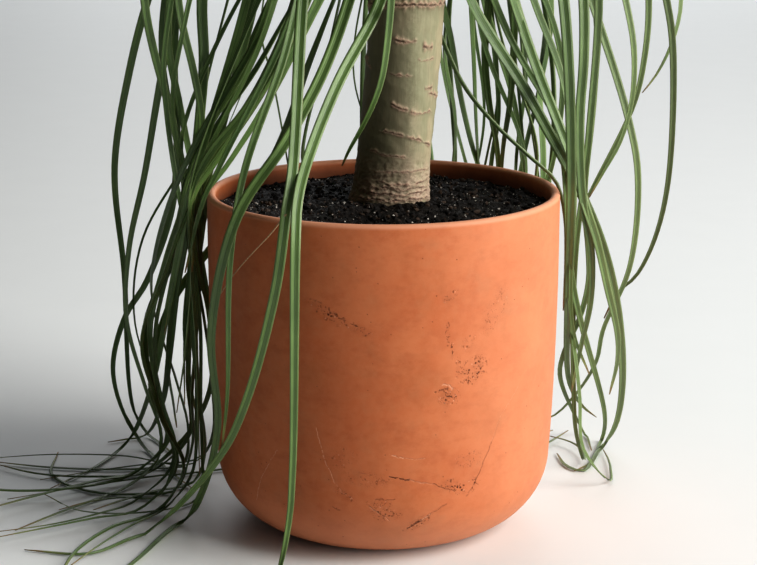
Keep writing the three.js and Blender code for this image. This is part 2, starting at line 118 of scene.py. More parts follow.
# Leaves whose place is fixed, each from where it comes down past the trunk to its tip
PLACED_LEAVES = (
    # In front of the pot
    ("wide", (-2, -18, 299), (-24, -48, 260), (-39, -80, 225), (-44, -98, 206), (-45, -106, 186),
     (-48, -104, 62), (-51, -103, 28), (-58, -112, 1), (-69, -134, 1)),
    ("wide", (-42, -62, 305), (-47, -88, 219), (-50, -99, 199), (-56, -101, 159), (-73, -90, 96),
     (-90, -74, 58), (-137, -45, 1), (-163, -72, 1), (-200, -67, 1)),
    ("wide", (-18, -40, 303), (-32, -55, 266), (-51, -70, 232), (-76, -83, 195), (-92, -73, 130),
     (-91, -60, 72), (-103, -40, 25), (-116, -25, 1), (-138, -88, 1), (-155, -122, 1)),
    ("plain", (-45, -50, 304), (-53, -58, 273), (-73, -72, 217), (-81, -78, 170), (-84, -79, 95),
     (-88, -76, 63)),
    ("plain", (4, -26, 302), (2, -25, 279), (-1, -24, 259), (-6, -22, 244), (-13, -16, 229),
     (-19, -8, 217), (-23, 2, 206)),
    # Right of the pot
    ("wide", (48, 5, 299), (85, 12, 240), (129, 38, 155), (147, 64, 83), (150, 96, 23),
     (142, 105, 1), (125, 62, 1), (116, 71, 1), (112, 95, 1)),
    ("plain", (72, 10, 299), (102, 22, 218), (113, 42, 129), (143, 102, 25), (144, 121, 1),
     (131, 76, 1), (120, 62, 1)),
    ("wide", (97, -25, 302), (101, -24, 263), (105, -14, 200), (107, 4, 162), (110, 34, 119),
     (120, 104, 46), (131, 124, 24), (142, 136, 12)),
    ("plain", (116, 10, 299), (140, 22, 232), (148, 28, 197), (148, 46, 138), (136, 70, 91),
     (134, 84, 66), (123, 106, 36), (111, 112, 21), (96, 118, 13)),
    ("plain", (151, 30, 297), (151, 40, 261), (147, 52, 232), (124, 74, 172), (117, 82, 148)),
    ("plain", (158, 10, 299), (164, 18, 271), (168, 40, 191), (163, 52, 152), (154, 62, 127),
     (144, 68, 115), (137, 74, 97)),
    ("plain", (119, 0, 299), (117, 10, 222), (116, 18, 188), (121, 30, 151), (123, 42, 129),
     (120, 58, 102), (113, 78, 74), (113, 96, 52), (134, 133, 1), (135, 101, 1)),
    ("wide", (73, 12, 298), (86, 10, 261), (101, 0, 224), (107, -4, 208), (113, -6, 188),
     (122, 0, 163), (130, 8, 133), (138, 20, 104), (141, 36, 82), (140, 60, 52)),
    ("wide", (109, -14, 301), (110, -14, 268), (109, -12, 240), (110, -10, 211), (113, -6, 185),
     (119, 2, 157), (121, 14, 124), (118, 34, 88), (116, 56, 55)),
    ("plain", (85, 24, 297), (101, 22, 257), (106, 18, 234), (109, 12, 208), (109, 8, 176),
     (109, 14, 149), (113, 30, 102), (126, 50, 68)),
    ("plain", (133, -6, 300), (139, -2, 273), (140, 6, 243), (135, 14, 217), (127, 20, 199),
     (120, 26, 183)),
    ("plain", (167, 16, 298), (166, 18, 284), (162, 22, 268), (156, 26, 254), (149, 28, 244)),
    ("wide", (33, 34, 296), (39, 48, 272), (45, 66, 240), (53, 88, 207), (62, 100, 176),
     (66, 100, 141), (67, 96, 103)),
    ("plain", (24, 44, 298), (36, 38, 268), (47, 36, 246), (66, 38, 223), (85, 42, 205),
     (102, 42, 189), (107, 38, 170), (108, 34, 144), (108, 40, 111)),
    ("plain", (50, 40, 296), (53, 56, 259), (56, 78, 220), (59, 98, 189), (61, 102, 153)),
    ("plain", (60, 30, 297), (59, 46, 267), (63, 66, 234), (70, 88, 200), (72, 94, 174),
     (71, 98, 129)),
    ("plain", (74, 20, 298), (75, 34, 268), (75, 54, 236), (73, 82, 201), (73, 96, 167)),
    # Left of the pot
    ("plain", (-133, 20, 298), (-146, 30, 257), (-160, 52, 197), (-162, 88, 124), (-166, 138, 15),
     (-155, 128, 1), (-131, 85, 1)),
    ("plain", (-116, 20, 298), (-120, 28, 263), (-121, 40, 214), (-127, 54, 170), (-146, 74, 121),
     (-162, 88, 95), (-173, 102, 62), (-174, 116, 36), (-168, 118, 16), (-154, 101, 1),
     (-134, 61, 1), (-117, 31, 1)),
    ("plain", (-131, -10, 300), (-117, 14, 213), (-105, 60, 80), (-111, 72, 44), (-127, 74, 17),
     (-160, 27, 1), (-190, -9, 1), (-211, -38, 1)),
    ("plain", (-124, 26, 297), (-127, 30, 268), (-125, 32, 244), (-120, 34, 218), (-117, 36, 185),
     (-120, 44, 147), (-129, 58, 107), (-136, 84, 66), (-137, 114, 30), (-139, 146, 1)),
    ("plain", (-113, -6, 300), (-106, 0, 259), (-103, 6, 234), (-105, 14, 213), (-108, 20, 181),
     (-114, 26, 141), (-119, 34, 102), (-118, 46, 66), (-116, 62, 35)),
    ("wide", (-101, 6, 299), (-101, 8, 265), (-104, 12, 237), (-108, 16, 208), (-114, 20, 169),
     (-123, 32, 127), (-131, 56, 82), (-142, 92, 34), (-161, 124, 1), (-181, 116, 1)),
    ("plain", (-44, -20, 301), (-59, -24, 268), (-77, -28, 240), (-94, -30, 220), (-107, -28, 196),
     (-114, -20, 165), (-126, 10, 118), (-143, 60, 58), (-166, 104, 6), (-183, 66, 1),
     (-203, 30, 1)),
)

# A dry fibre that hangs from a leaf in front of the pot
DRY_FIBRE = ((-50, -99, 199), (-58, -93, 188), (-68, -84, 176), (-80, -70, 160), (-88, -60, 147))

# Leaf scars and cracks on the trunk: angle round it from the front, towards +X, height, half
# of its span in degrees, rise per degree, half height, lift of the lips, depth of the crack
BARK_SCARS = (
    (0, 297.6, 181, 0.0, 2.2, 1.1, 1.0),
    (2, 278.0, 20, -0.02, 1.7, 0.8, 1.1),
    (40, 274.0, 11, 0.0, 2.2, 0.8, 0.8),
    (40, 267.2, 18, 0.0, 0.8, 0.4, 0.6),
    (-3, 259.2, 20, -0.02, 0.9, 0.4, 0.6),
    (48, 251.0, 10, -0.03, 1.5, 0.6, 0.8),
    (0, 241.0, 16, -0.13, 1.5, 0.8, 0.9),
    (40, 237.3, 24, -0.02, 1.1, 0.6, 0.5),
    (-9, 227.0, 24, -0.065, 1.1, 0.6, 0.9),
    (41, 221.0, 29, -0.17, 1.3, 0.8, 0.9),
    (-12, 214.0, 40, -0.045, 0.8, 0.4, 0.6),
    (20, 204.5, 60, 0.0, 0.8, 0.4, 0.5),
    (18, 198.0, 50, -0.02, 1.0, 0.6, 0.7),
    (15, 194.8, 52, -0.02, 0.9, 0.6, 0.8),
    (20, 191.8, 60, 0.0, 0.9, 0.7, 0.8),
    (10, 188.4, 70, 0.0, 1.0, 0.8, 0.9),
    (0, 313.0, 181, 0.0, 1.4, 0.9, 0.8),
    (0, 326.0, 181, 0.0, 1.5, 0.9, 0.9),
    (0, 339.0, 181, 0.0, 1.8, 1.1, 1.0),
)
HIDDEN_SCARS = 26

# Marks scratched in the pot: their route as [angle, height] places, half width, paleness
# (below 0 for dark marks) and depth
POT_SCRATCHES = (
    (((-21.2, 81.0), (-19.0, 66.0), (-15.6, 51.5)), 0.2, 0.7, 0.4),
    (((-15.6, 51.5), (-13.2, 46.0), (-9.6, 42.4)), 0.2, 0.3, 0.5),
    (((-36.0, 64.5), (-43.4, 45.5), (-47.5, 30.0)), 0.19, 0.6, 0.4),
    (((48.0, 97.0), (40.3, 83.5), (36.4, 69.0)), 0.16, 0.22, 0.4),
    (((36.4, 69.0), (33.2, 57.0), (31.2, 49.0)), 0.22, -0.35, 0.8),
    (((31.2, 49.0), (29.9, 45.0)), 0.36, -0.8, 1.0),
    (((29.9, 45.0), (27.8, 40.5)), 0.26, -0.35, 0.6),
    (((-8.6, 57.8), (-3.5, 56.6)), 0.22, -0.3, 0.5),
    (((2.0, 55.8), (6.0, 54.2), (8.2, 53.6)), 0.36, -0.85, 1.0),
    (((8.2, 53.6), (12.0, 51.6), (16.0, 50.3)), 0.28, 0.35, 0.7),
    (((16.0, 50.3), (19.5, 47.0), (23.5, 44.2)), 0.32, -0.45, 0.7),
    (((2.2, 68.8), (4.2, 67.0), (6.4, 66.4)), 0.3, 0.75, 0.6),
    (((6.4, 66.4), (9.0, 65.4), (13.2, 65.2)), 0.22, 0.4, 0.5),
    (((-4.4, 38.6), (-2.2, 35.4), (0.2, 32.8)), 0.32, -0.4, 0.9),
    (((-3.8, 37.6), (-1.4, 34.6)), 0.26, 0.6, 0.6),
    (((0.2, 32.8), (2.0, 29.5)), 0.24, 0.4, 0.6),
    (((-2.2, 43.0), (0.6, 42.2), (3.6, 42.6)), 0.26, -0.4, 0.6),
    (((-17.2, 37.0), (-15.6, 35.6), (-14.2, 35.2)), 0.3, -0.55, 0.8),
    (((8.0, 24.0), (10.4, 27.0), (12.4, 29.0)), 0.5, -0.85, 1.0),
    (((12.4, 29.0), (15.6, 32.6)), 0.34, 0.7, 0.7),
    (((15.6, 32.6), (18.0, 35.2), (20.8, 37.6)), 0.26, -0.3, 0.6),
    (((16.0, 102.2), (17.6, 103.4), (19.8, 103.6)), 0.34, -0.6, 0.9),
    (((18.4, 106.0), (20.4, 105.4), (21.6, 103.4)), 0.42, 0.6, 0.5),
    (((20.0, 99.4), (21.2, 98.6)), 0.48, -0.9, 1.0),
    (((-22.6, 152.2), (-18.8, 150.8)), 0.34, -0.35, 0.5),
    (((-16.6, 148.5), (-16.4, 145.5)), 0.34, -0.6, 0.7),
    (((-16.4, 146.2), (-14.2, 144.6)), 0.5, -0.6, 1.0),
    (((-13.6, 143.6), (-11.6, 142.0)), 0.42, -0.55, 1.0),
    (((-9.4, 140.2), (-7.6, 139.0)), 0.34, -0.55, 0.8),
)

# Places where the clay is pitted: angle, height, half width, half height, slope, share of pits
POT_PITS = (
    (-16.0, 144.5, 9.0, 3.8, -0.42, 1.0),
    (-8.0, 138.0, 8.0, 2.6, -0.42, 0.75),
    (-20.0, 149.0, 7.0, 2.6, -0.3, 0.6),
    (20.3, 154.0, 4.0, 2.6, 0.5, 0.95),
    (28.5, 112.0, 9.0, 7.0, 0.2, 0.9),
    (27.0, 128.0, 4.0, 4.0, 0.4, 0.7),
    (36.5, 143.0, 9.0, 9.0, 0.9, 0.35),
    (19.8, 134.0, 1.2, 6.0, 0.0, 0.8),
    (21.4, 125.0, 1.2, 6.0, 0.0, 0.9),
    (23.4, 116.0, 1.4, 6.0, 0.0, 0.9),
    (20.5, 99.0, 6.0, 5.0, 0.0, 0.85),
    (24.0, 47.0, 9.0, 4.0, -0.3, 1.0),
    (30.0, 47.0, 4.0, 4.0, 0.0, 0.8),
    (-6.0, 54.0, 14.0, 4.0, -0.1, 0.45),
    (-13.0, 66.0, 8.0, 6.0, 0.0, 0.45),
    (-12.0, 44.0, 6.0, 3.0, -0.4, 0.6),
    (0.0, 36.0, 9.0, 6.0, -0.3, 0.7),
    (11.0, 27.0, 8.0, 3.5, 0.5, 0.9),
    (28.0, 62.0, 9.0, 5.0, 0.0, 0.4),
)


# Property groups


def colour(name, description, shade):
    """The setting of a colour, given as red, green and blue"""
    return bpy.props.FloatVectorProperty(name=name, description=description, subtype="COLOR",
                                         size=4, min=0, max=1, default=(*shade, 1))


class PotSizes(bpy.types.PropertyGroup):
    """Finish of the clay pot"""

    clay: colour("Clay", "Colour of the fired clay", (0.475, 0.132, 0.048))
    # The pale clay colour is also painted along the top of the lip
    clay_pale: colour("Pale clay", "Colour of the rubbed lip and of fresh scratches",
                      (0.74, 0.40, 0.26))
    clay_dark: colour("Dark clay", "Colour of stains and pits", (0.07, 0.019, 0.008))
    steps: bpy.props.IntProperty(
        name="Steps", description="Steps round the pot", default=192, min=48, max=360)
    unevenness: bpy.props.FloatProperty(
        name="Unevenness", description="How far the wall strays from a true round",
        default=0.25 * MM, min=0, max=2 * MM, subtype="DISTANCE", unit="LENGTH")


class SoilSizes(bpy.types.PropertyGroup):
    """Finish of the potting soil"""

    peat: colour("Peat", "Colour of damp peat", (0.0032, 0.0022, 0.0016))
    grit: colour("Grit", "Colour of the pale grains", (0.62, 0.58, 0.52))
    crumbs: bpy.props.IntProperty(
        name="Crumbs", description="Loose crumbs of peat", default=2600, min=0, max=6000)
    grains: bpy.props.IntProperty(
        name="Grains", description="Pale grains in the peat", default=950, min=0, max=1000)


class TrunkSizes(bpy.types.PropertyGroup):
    """Finish of the trunk"""

    bark: colour("Bark", "Colour of smooth bark", (0.37, 0.315, 0.20))
    bark_green: colour("Green bark", "Colour of the greener stretches", (0.245, 0.237, 0.14))
    scar: colour("Scar", "Colour of the rough lips of leaf scars", (0.56, 0.375, 0.275))
    crack: colour("Crack", "Colour inside cracks", (0.055, 0.03, 0.018))


class LeafSizes(bpy.types.PropertyGroup):
    """Size and finish of the leaves"""

    plain_width: bpy.props.FloatProperty(
        name="Width", description="Width of a leaf at its root", default=5.5 * MM, min=MM,
        max=20 * MM, subtype="DISTANCE", unit="LENGTH")
    wide_width: bpy.props.FloatProperty(
        name="Front width", description="Width of the broadest leaves at their root",
        default=7.2 * MM, min=MM, max=20 * MM, subtype="DISTANCE", unit="LENGTH")
    step: bpy.props.FloatProperty(
        name="Step", description="Distance between a blade's sections", default=6.5 * MM,
        min=2 * MM, max=30 * MM, subtype="DISTANCE", unit="LENGTH")
    green_dark: colour("Deep green", "Colour of the darkest leaves", (0.026, 0.066, 0.010))
    green_light: colour("Light green", "Colour of the lightest leaves", (0.15, 0.245, 0.07))
    margin: colour("Margin", "Colour of the thin pale edges", (0.42, 0.46, 0.20))
    dry: colour("Dry", "Colour of dry tips and fibres", (0.30, 0.17, 0.07))


SENSOR_WIDTH = 36


class StageSizes(bpy.types.PropertyGroup):
    """Camera, floor and light"""

    distance: bpy.props.FloatProperty(
        name="Camera distance", description="Level distance from the pot's axis",
        default=0.997, min=0.2, max=5, subtype="DISTANCE", unit="LENGTH")
    height: bpy.props.FloatProperty(
        name="Camera height", description="Height above the floor", default=0.3863,
        min=0, max=3, subtype="DISTANCE", unit="LENGTH")
    pitch: bpy.props.FloatProperty(
        name="Pitch", description="How far the camera looks down",
        default=math.radians(13.97), subtype="ANGLE", unit="ROTATION")
    yaw: bpy.props.FloatProperty(
        name="Yaw", description="How far the camera looks to the left",
        default=math.radians(0.16), subtype="ANGLE", unit="ROTATION")
    lens: bpy.props.FloatProperty(
        name="Lens", description="Focal length on a 36 mm sensor", default=84.94, min=10,
        max=300)
    key_power: bpy.props.FloatProperty(
        name="Key light", description="Power of the large light on the right",
        default=146, min=0, max=1000, unit="POWER")
    sky: bpy.props.FloatProperty(
        name="Room light", description="Strength of the even light all round",
        default=0.06, min=0, max=5)


GROUPS = {
    "palm_pot": PotSizes,
    "palm_soil": SoilSizes,
    "palm_trunk": TrunkSizes,
    "palm_leaves": LeafSizes,
    "palm_stage": StageSizes,
}


# Shader expressions


class Wire:
    """A value in a material's nodes, with maths written as Python expressions"""

    def __init__(self, finish, socket):
        self.finish = finish
        self.socket = socket

    def maths(self, operation, *values):
        return self.finish.node("ShaderNodeMath", {"operation": operation}, values)

    def __add__(self, other):
        return self.maths("ADD", self, other)

    def __sub__(self, other):
        return self.maths("SUBTRACT", self, other)

    def __rsub__(self, other):
        return self.maths("SUBTRACT", other, self)

    def __mul__(self, other):
        return self.maths("MULTIPLY", self, other)

    def __truediv__(self, other):
        return self.maths("DIVIDE", self, other)

    def __abs__(self):
        return self.maths("ABSOLUTE", self)

    def sine(self):
        return self.maths("SINE", self)

    def root(self):
        return self.maths("SQRT", self)

    def largest(self, other):
        return self.maths("MAXIMUM", self, other)

    def smallest(self, other):
        return self.maths("MINIMUM", self, other)

    def ramp(self, low, high):
        """0 at low and 1 at high, smooth between them"""
        settings = {"interpolation_type": "SMOOTHSTEP"}
        values = {"Value": self, "From Min": low, "From Max": high}
        return self.finish.node("ShaderNodeMapRange", settings, values)


class Finish:
    """A material whose nodes are added one by one"""

    def __init__(self, name):
        self.material = bpy.data.materials.new(name)
        self.material.use_nodes = True
        self.nodes = self.material.node_tree.nodes
        self.links = self.material.node_tree.links
        self.surface = self.nodes["Principled BSDF"]

    def node(self, kind, settings=None, values=(), output=0):
        """Adds a node, sets it up and gives the wire of one of its outputs"""
        made = self.nodes.new(kind)
        for name, value in (settings or {}).items():
            setattr(made, name, value)
        pairs = values.items() if isinstance(values, dict) else enumerate(values)
        for name, value in pairs:
            self.feed(made.inputs[name], value)
        return Wire(self, made.outputs[output])

    def feed(self, socket, value):
        """Links a wire to a socket, or sets the socket's own value"""
        if isinstance(value, Wire):
            self.links.new(value.socket, socket)
        elif socket.type == "RGBA" and len(value) == 3:
            socket.default_value = (*value, 1)
        else:
            socket.default_value = value

    def place(self):
        """Object coordinates in millimetres"""
        metres = self.node("ShaderNodeTexCoord", output="Object")
        return self.node("ShaderNodeVectorMath", {"operation": "SCALE"},
                         {0: metres, "Scale": 1 / MM})

    def stretched(self, place, x, y, z):
        return self.node("ShaderNodeVectorMath", {"operation": "MULTIPLY"},
                         {0: place, 1: (x, y, z)})

    def parts(self, place):
        split = self.node("ShaderNodeSeparateXYZ", values=[place]).socket.node
        return [Wire(self, output) for output in split.outputs]

    def attribute(self, name):
        return self.node("ShaderNodeAttribute", {"attribute_name": name}, output="Fac")

    def cloud(self, place, size, detail, roughness=0.55):
        """Soft noise between 0 and 1 whose patches are about `size` across"""
        values = {"Vector": place, "Scale": 1 / size, "Detail": detail, "Roughness": roughness}
        return self.node("ShaderNodeTexNoise", values=values)

    def cells(self, place, size):
        """Distance from the middle of the nearest of many cells, which are `size` across"""
        return self.node("ShaderNodeTexVoronoi", values={"Vector": place, "Scale": 1 / size})

    def blend(self, share, first, second):
        settings = {"data_type": "RGBA", "clamp_factor": True}
        return self.node("ShaderNodeMix", settings, {0: share, 6: first, 7: second}, 2)

    def coated(self, tint, *coats):
        """A tint with coats laid over it, each as (share, colour)"""
        for share, colour_over in coats:
            tint = self.blend(share, tint, colour_over)
        return tint

    def bump(self, height, depth):
        """The surface's normal, raised by `depth` millimetres where height is 1"""
        values = {"Strength": 1.0, "Distance": depth * MM, "Height": height}
        return self.node("ShaderNodeBump", values=values)

    def surfaces(self, **values):
        """Sets the surface's sockets, whose names are written with underscores"""
        for name, value in values.items():
            self.feed(self.surface.inputs[name.replace("_", " ")], value)
        return self.material


# Making meshes


def deselect():
    if bpy.context.object and bpy.context.object.mode != "OBJECT":
        bpy.ops.object.mode_set(mode="OBJECT")
    bpy.ops.object.select_all(action="DESELECT")


def take(piece):
    deselect()
    piece.select_set(True)
    bpy.context.view_layer.objects.active = piece


def hand_over(piece, name, finish, nodes=()):
    """Names a finished piece, gives it its material and fixes it to the frame"""
    piece.name = name
    piece.data.name = name
    piece.data.materials.clear()
    piece.data.materials.append(finish)
    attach(piece, "root")
    if nodes:
        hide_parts(*nodes)
    deselect()


def new_mesh(corners, faces, layers, smooth=True):
    """A mesh object from corners in millimetres, and what its material reads there"""
    mesh = bpy.data.meshes.new("piece")
    mesh.from_pydata((np.asarray(corners) * MM).tolist(), [], faces)
    mesh.polygons.foreach_set("use_smooth", [smooth] * len(mesh.polygons))
    piece = bpy.data.objects.new("piece", mesh)
    bpy.context.collection.objects.link(piece)
    paint(piece, layers)
    return piece


def paint(piece, layers):
    """Keeps numbers for every corner, by name, for the material to read"""
    for name, values in layers.items():
        layer = piece.data.attributes.new(name, "FLOAT", "POINT")
        layer.data.foreach_set("value", np.asarray(values, dtype=np.float32).ravel())


def rolled_sheet(around, rows, place):
    """A grid primitive rolled round an axis into a closed piece

    place(angles, shares) gives its corners in millimetres and what its material reads there
    """
    deselect()
    bpy.ops.mesh.primitive_grid_add(x_subdivisions=around, y_subdivisions=rows, size=2)
    piece = bpy.context.object
    flat = np.empty(len(piece.data.vertices) * 3)
    piece.data.vertices.foreach_get("co", flat)
    turns, shares, _ = (flat.reshape(-1, 3).T + 1) / 2
    corners, layers = place(turns * 2 * math.pi, shares)
    piece.data.vertices.foreach_set("co", (corners * MM).ravel())
    paint(piece, layers)
    close_seams(piece)
    return piece


def close_seams(piece):
    take(piece)
    bpy.ops.object.mode_set(mode="EDIT")
    bpy.ops.mesh.select_all(action="SELECT")
    bpy.ops.mesh.remove_doubles(threshold=0.005 * MM)
    bpy.ops.mesh.normals_make_consistent(inside=False)
    bpy.ops.object.mode_set(mode="OBJECT")
    bpy.ops.object.shade_smooth()


def line_of_edges(points):
    """A row of edges through points in millimetres, extruded one by one"""
    deselect()
    bpy.ops.mesh.primitive_plane_add(size=MM)
    piece = bpy.context.object
    bpy.ops.object.mode_set(mode="EDIT")
    bpy.ops.mesh.merge(type="CENTER")
    here = Vector((0, 0, 0))
    for k, point in enumerate(points):
        there = Vector(point) * MM
        if k == 0:
            bpy.ops.transform.translate(value=there)
        else:
            bpy.ops.mesh.extrude_region_move(TRANSFORM_OT_translate={"value": there - here})
        here = there
    return piece


def noise_at(points, size, seed, octaves):
    """Fractal noise about -1 to 1 at points in millimetres"""
    shift = Vector((seed, seed, seed))
    return np.array([noise.fractal(Vector(p) / size + shift, 1.0, 2.0, octaves) for p in points])


# Curves that the leaves and the trunk follow, in millimetres


def draw(piece, question, low, high):
    """A seeded draw between two values"""
    wave = math.sin(piece * 127.1 + question * 311.7 + 17.3) * 43758.5453
    return low + (high - low) * (wave - math.floor(wave))


def smooth_step(x):
    t = min(1.0, max(0.0, x))
    return t * t * (3 - 2 * t)


def polar(angle, distance, height):
    turn = math.radians(angle)
    return np.array([distance * math.cos(turn), distance * math.sin(turn), height])


def unit(vector):
    return vector / np.linalg.norm(vector)


def wall_radius(height):
    share = (height - FOOT_FILLET) / (POT_HEIGHT - FOOT_FILLET)
    return POT_LOW_RADIUS + (POT_RADIUS - POT_LOW_RADIUS) * (1 - (1 - share) ** WALL_SWELL)


def trunk_centre(height):
    share = np.clip((height - TRUNK_FOOT[2]) / (TRUNK_TOP[2] - TRUNK_FOOT[2]), 0, 1)
    handle = 2 * TRUNK_MIDDLE - (TRUNK_FOOT + TRUNK_TOP) / 2
    point = ((1 - share) ** 2 * TRUNK_FOOT + 2 * share * (1 - share) * handle
             + share ** 2 * TRUNK_TOP)
    return np.array([point[0], point[1], height])


def core_radius(share):
    return CORE_RADIUS * (1 - CORE_TAPER * share)


def root_at(angle, share):
    height = ROOT_SUNK - 1 + (CORE_HEIGHT - 8) * share
    return polar(angle, core_radius(share) - ROOT_SUNK, height) + TRUNK_TOP


def heading(angle, rise):
    return polar(angle, math.cos(math.radians(rise)), math.sin(math.radians(rise)))


def arch_points(root, launch, end, lean):
    """Points on a curve that leaves the core along `launch` and comes down at `end`"""
    out, back = root + launch, end + lean
    return [(1 - u) ** 3 * root + 3 * (1 - u) ** 2 * u * out + 3 * (1 - u) * u * u * back
            + u ** 3 * end for u in ARCH_SHARES]


def combed_side(angle):
    """The side of the pot on which a leaf that starts at `angle` hangs"""
    turn = ((FRONT - angle) % 360) / 360
    shares, sides = zip(*COMBED)
    return float(np.interp(turn, shares, sides))


def push_out(point, axis, least):
    """Moves a point level away from an upright axis, softly, to at least a distance"""
    soft = 3.0
    reach = math.hypot(point[0] - axis[0], point[1] - axis[1])
    if reach > least + 3 * soft:
        return
    pushed = least + soft * math.log1p(math.exp((reach - least) / soft))
    point[0] = axis[0] + (point[0] - axis[0]) * pushed / reach
    point[1] = axis[1] + (point[1] - axis[1]) * pushed / reach


def smooth_route(points):
    """A smooth line through a leaf's points that stays off the trunk"""
    knots = [2 * points[0] - points[1], *points, 2 * points[-1] - points[-2]]
    route = []
    for k in range(1, len(knots) - 2):
        a, b, c, d = knots[k - 1:k + 3]
        gaps = [max(np.linalg.norm(q - p), 1e-6) ** 0.5 for p, q in ((a, b), (b, c), (c, d))]
        out = ((b - a) / gaps[0] - (c - a) / (gaps[0] + gaps[1]) + (c - b) / gaps[1]) * gaps[1]
        into = ((c - b) / gaps[1] - (d - b) / (gaps[1] + gaps[2]) + (d - c) / gaps[2]) * gaps[1]
        for j in range(ROUTE_STEPS):
            t = j / ROUTE_STEPS
            route.append(b + out * t + (3 * (c - b) - 2 * out - into) * t ** 2
                         + (2 * (b - c) + out + into) * t ** 3)
    route.append(points[-1].copy())
    fade = 12.0
    for point in route:
        near = smooth_step((TRUNK_TOP[2] + fade / 2 - point[2]) / fade)
        if near > 0:
            push_out(point, trunk_centre(point[2]), near * (TRUNK_RADIUS + TRUNK_BERTH))
    return route


def clear_of_pot(route):
    """Moves a leaf outside the pot's wall, and lets it come in over the rim"""
    for point in route:
        if point[2] < FREE_OF_POT:
            above = smooth_step((point[2] - BESIDE_POT) / (FREE_OF_POT - BESIDE_POT))
            push_out(point, (0, 0), POT_RADIUS + POT_BERTH - OVER_RIM * above)
    return route


def trail_points(leaf, left, angle, reach):
    """The stretch of a leaf that lies on the surface"""
    point = polar(angle + draw(leaf, 11, -4, 4), reach + draw(leaf, 12, 8, 24),
                  FLOOR_HEIGHT * (1 + leaf % LAYERS))
    curl = draw(leaf, 14, -50, 50)
    length = draw(leaf, 15, 60, 148) if left else draw(leaf, 15, 20, 60)
    way = angle + (draw(leaf, 13, 5, 75) if left else draw(leaf, 13, -60, 80))
    steps = 3
    points = [point]
    for _ in range(steps):
        points.append(points[-1] + heading(way, 0) * length / steps)
        way += curl * 0.4 if left and curl > 0 else curl
    return points


def grown_leaf(leaf):
    """A leaf of the grown rosette: the oldest hang low, the youngest arch highest"""
    share = (leaf + 0.5) / GROWN_LEAVES
    angle = leaf * GOLDEN_ANGLE
    side = combed_side(angle) + draw(leaf, 1, -12, 12)
    left = side > LEFT_SIDE
    spread = draw(leaf, 17, 0, 1) ** (4.5 if left else 1.2)
    # The arch: the height and distance at which it ends, and how steeply it starts
    arch_end = 190 + 95 * spread + draw(leaf, 3, -4, 10)
    reach = 105 + (12 if left else 24) * spread + draw(leaf, 4, 0, 9)
    rise = 4 + 70 * share ** 0.95 + draw(leaf, 2, -7, 7)
    points = arch_points(
        root_at(angle, share),
        heading(angle, rise) * (40 + 115 * share ** 2),
        polar(side, reach, arch_end),
        polar(side, (spread - 1) * draw(leaf, 18, 0.35, 0.95), 1) * (90 + 30 * share),
    )
    # The drop: how it sways, gathers to a side and swings out
    phase = draw(leaf, 5, 0, 6.28)
    sway = draw(leaf, 6, 3, 15)
    waves = draw(leaf, 7, 2.5, 6.5)
    gathered = draw(leaf, 8, 138, 186) if left else side + draw(leaf, 8, -14, 14)
    swung_out = 106 + 64 * draw(leaf, 9, 0, 1) ** 1.5
    for height in BEND_HEIGHTS:
        down = (BEND_HEIGHTS[0] - height) / (BEND_HEIGHTS[0] - BEND_HEIGHTS[-1])
        pull = min(1, max(0, (arch_end - height) / 120))
        angle_now = (side + (gathered - side) * pull * (0.75 if left else 1)
                     + sway * 0.5 * math.sin(phase + down * waves) * pull)
        reach_now = reach + sway * math.sin(phase * 1.7 + down * waves * 1.2) * pull
        if left:
            reach_now += (swung_out - reach) * pull * (1 - 0.45 * smooth_step((95 - height) / 60))
        if height < arch_end - 22:
            points.append(polar(angle_now, max(reach_now, POT_RADIUS + 7), height))
    # The end: a trail on the surface, or a shorter leaf
    if draw(leaf, 10, 0, 1) < (0.42 if left else 0.4):
        points += trail_points(leaf, left, angle_now, reach_now)
    else:
        points = points[:len(points) - math.floor(draw(leaf, 16, 0, 4.4))]
    return clear_of_pot(smooth_route(points))


def placed_leaf(points):
    """A leaf with a fixed place: an arch from the core, then its own points"""
    route = [np.array(point, float) for point in points]
    away = (route[0] - TRUNK_TOP)[:2]
    share = min(0.75, max(0.04, np.linalg.norm(away) / 210))
    angle = math.degrees(math.atan2(away[1], away[0]))
    root = root_at(angle, share)
    span = np.linalg.norm(route[0] - root)
    arch = arch_points(root, heading(angle, 12 + 60 * share) * span * 0.55, route[0],
                       unit(route[0] - route[1]) * span * 0.6)
    return smooth_route([*arch, *route[1:]])


def young_leaf(leaf):
    """A young leaf: short and nearly upright, at the top of the core"""
    share = (leaf + 0.5) / YOUNG_LEAVES
    angle = leaf * GOLDEN_ANGLE + 40
    root = root_at(angle, 0.8 + 0.2 * share)
    length = draw(leaf, 31, 90, 170) * (1 - 0.45 * share)
    way = heading(angle, 58 + 30 * share + draw(leaf, 32, -6, 6))
    aside = heading(angle + draw(leaf, 33, -30, 30), 0) * (1 - share)
    points = [root + way * along * length + aside * across * length
              - np.array([0, 0, drop * length * (1 - share)])
              for along, across, drop in YOUNG_BEND]
    return smooth_route(points)


# Leaf blades


# Corners of a blade's section: place across it from edge to edge, and whether it is under
SECTION = ((-1, 0), (-0.55, 0), (-0.08, 0), (0.08, 0), (0.55, 0), (1, 0), (0.6, 1), (0, 1),
           (-0.6, 1))
FOLD = 0.42
BLADE_THICKNESS = 0.55
FLOOR_CLEARANCE = 0.25
FLAT_FROM = 24.0
ALL_FLAT_AT = 4.0


def blade_width(width, along, whole):
    tip = np.minimum(1, (1 - along / whole + 0.001)) ** LEAF_TAPER
    return np.maximum(LEAST_WIDTH, width * tip)


def open_turn(route):
    """How far a hanging blade turns to show its face to the open side of the plant"""
    away = route[math.floor(len(route) * FACED_AT)] - TRUNK_TOP
    turn = (math.degrees(math.atan2(away[1], away[0])) - FRONT + 180) % 360 - 180
    return math.radians(min(MOST_TURN, max(-MOST_TURN, turn)))


def lengthwise_unit(vectors):
    return vectors / np.linalg.norm(vectors, axis=1)[:, None]


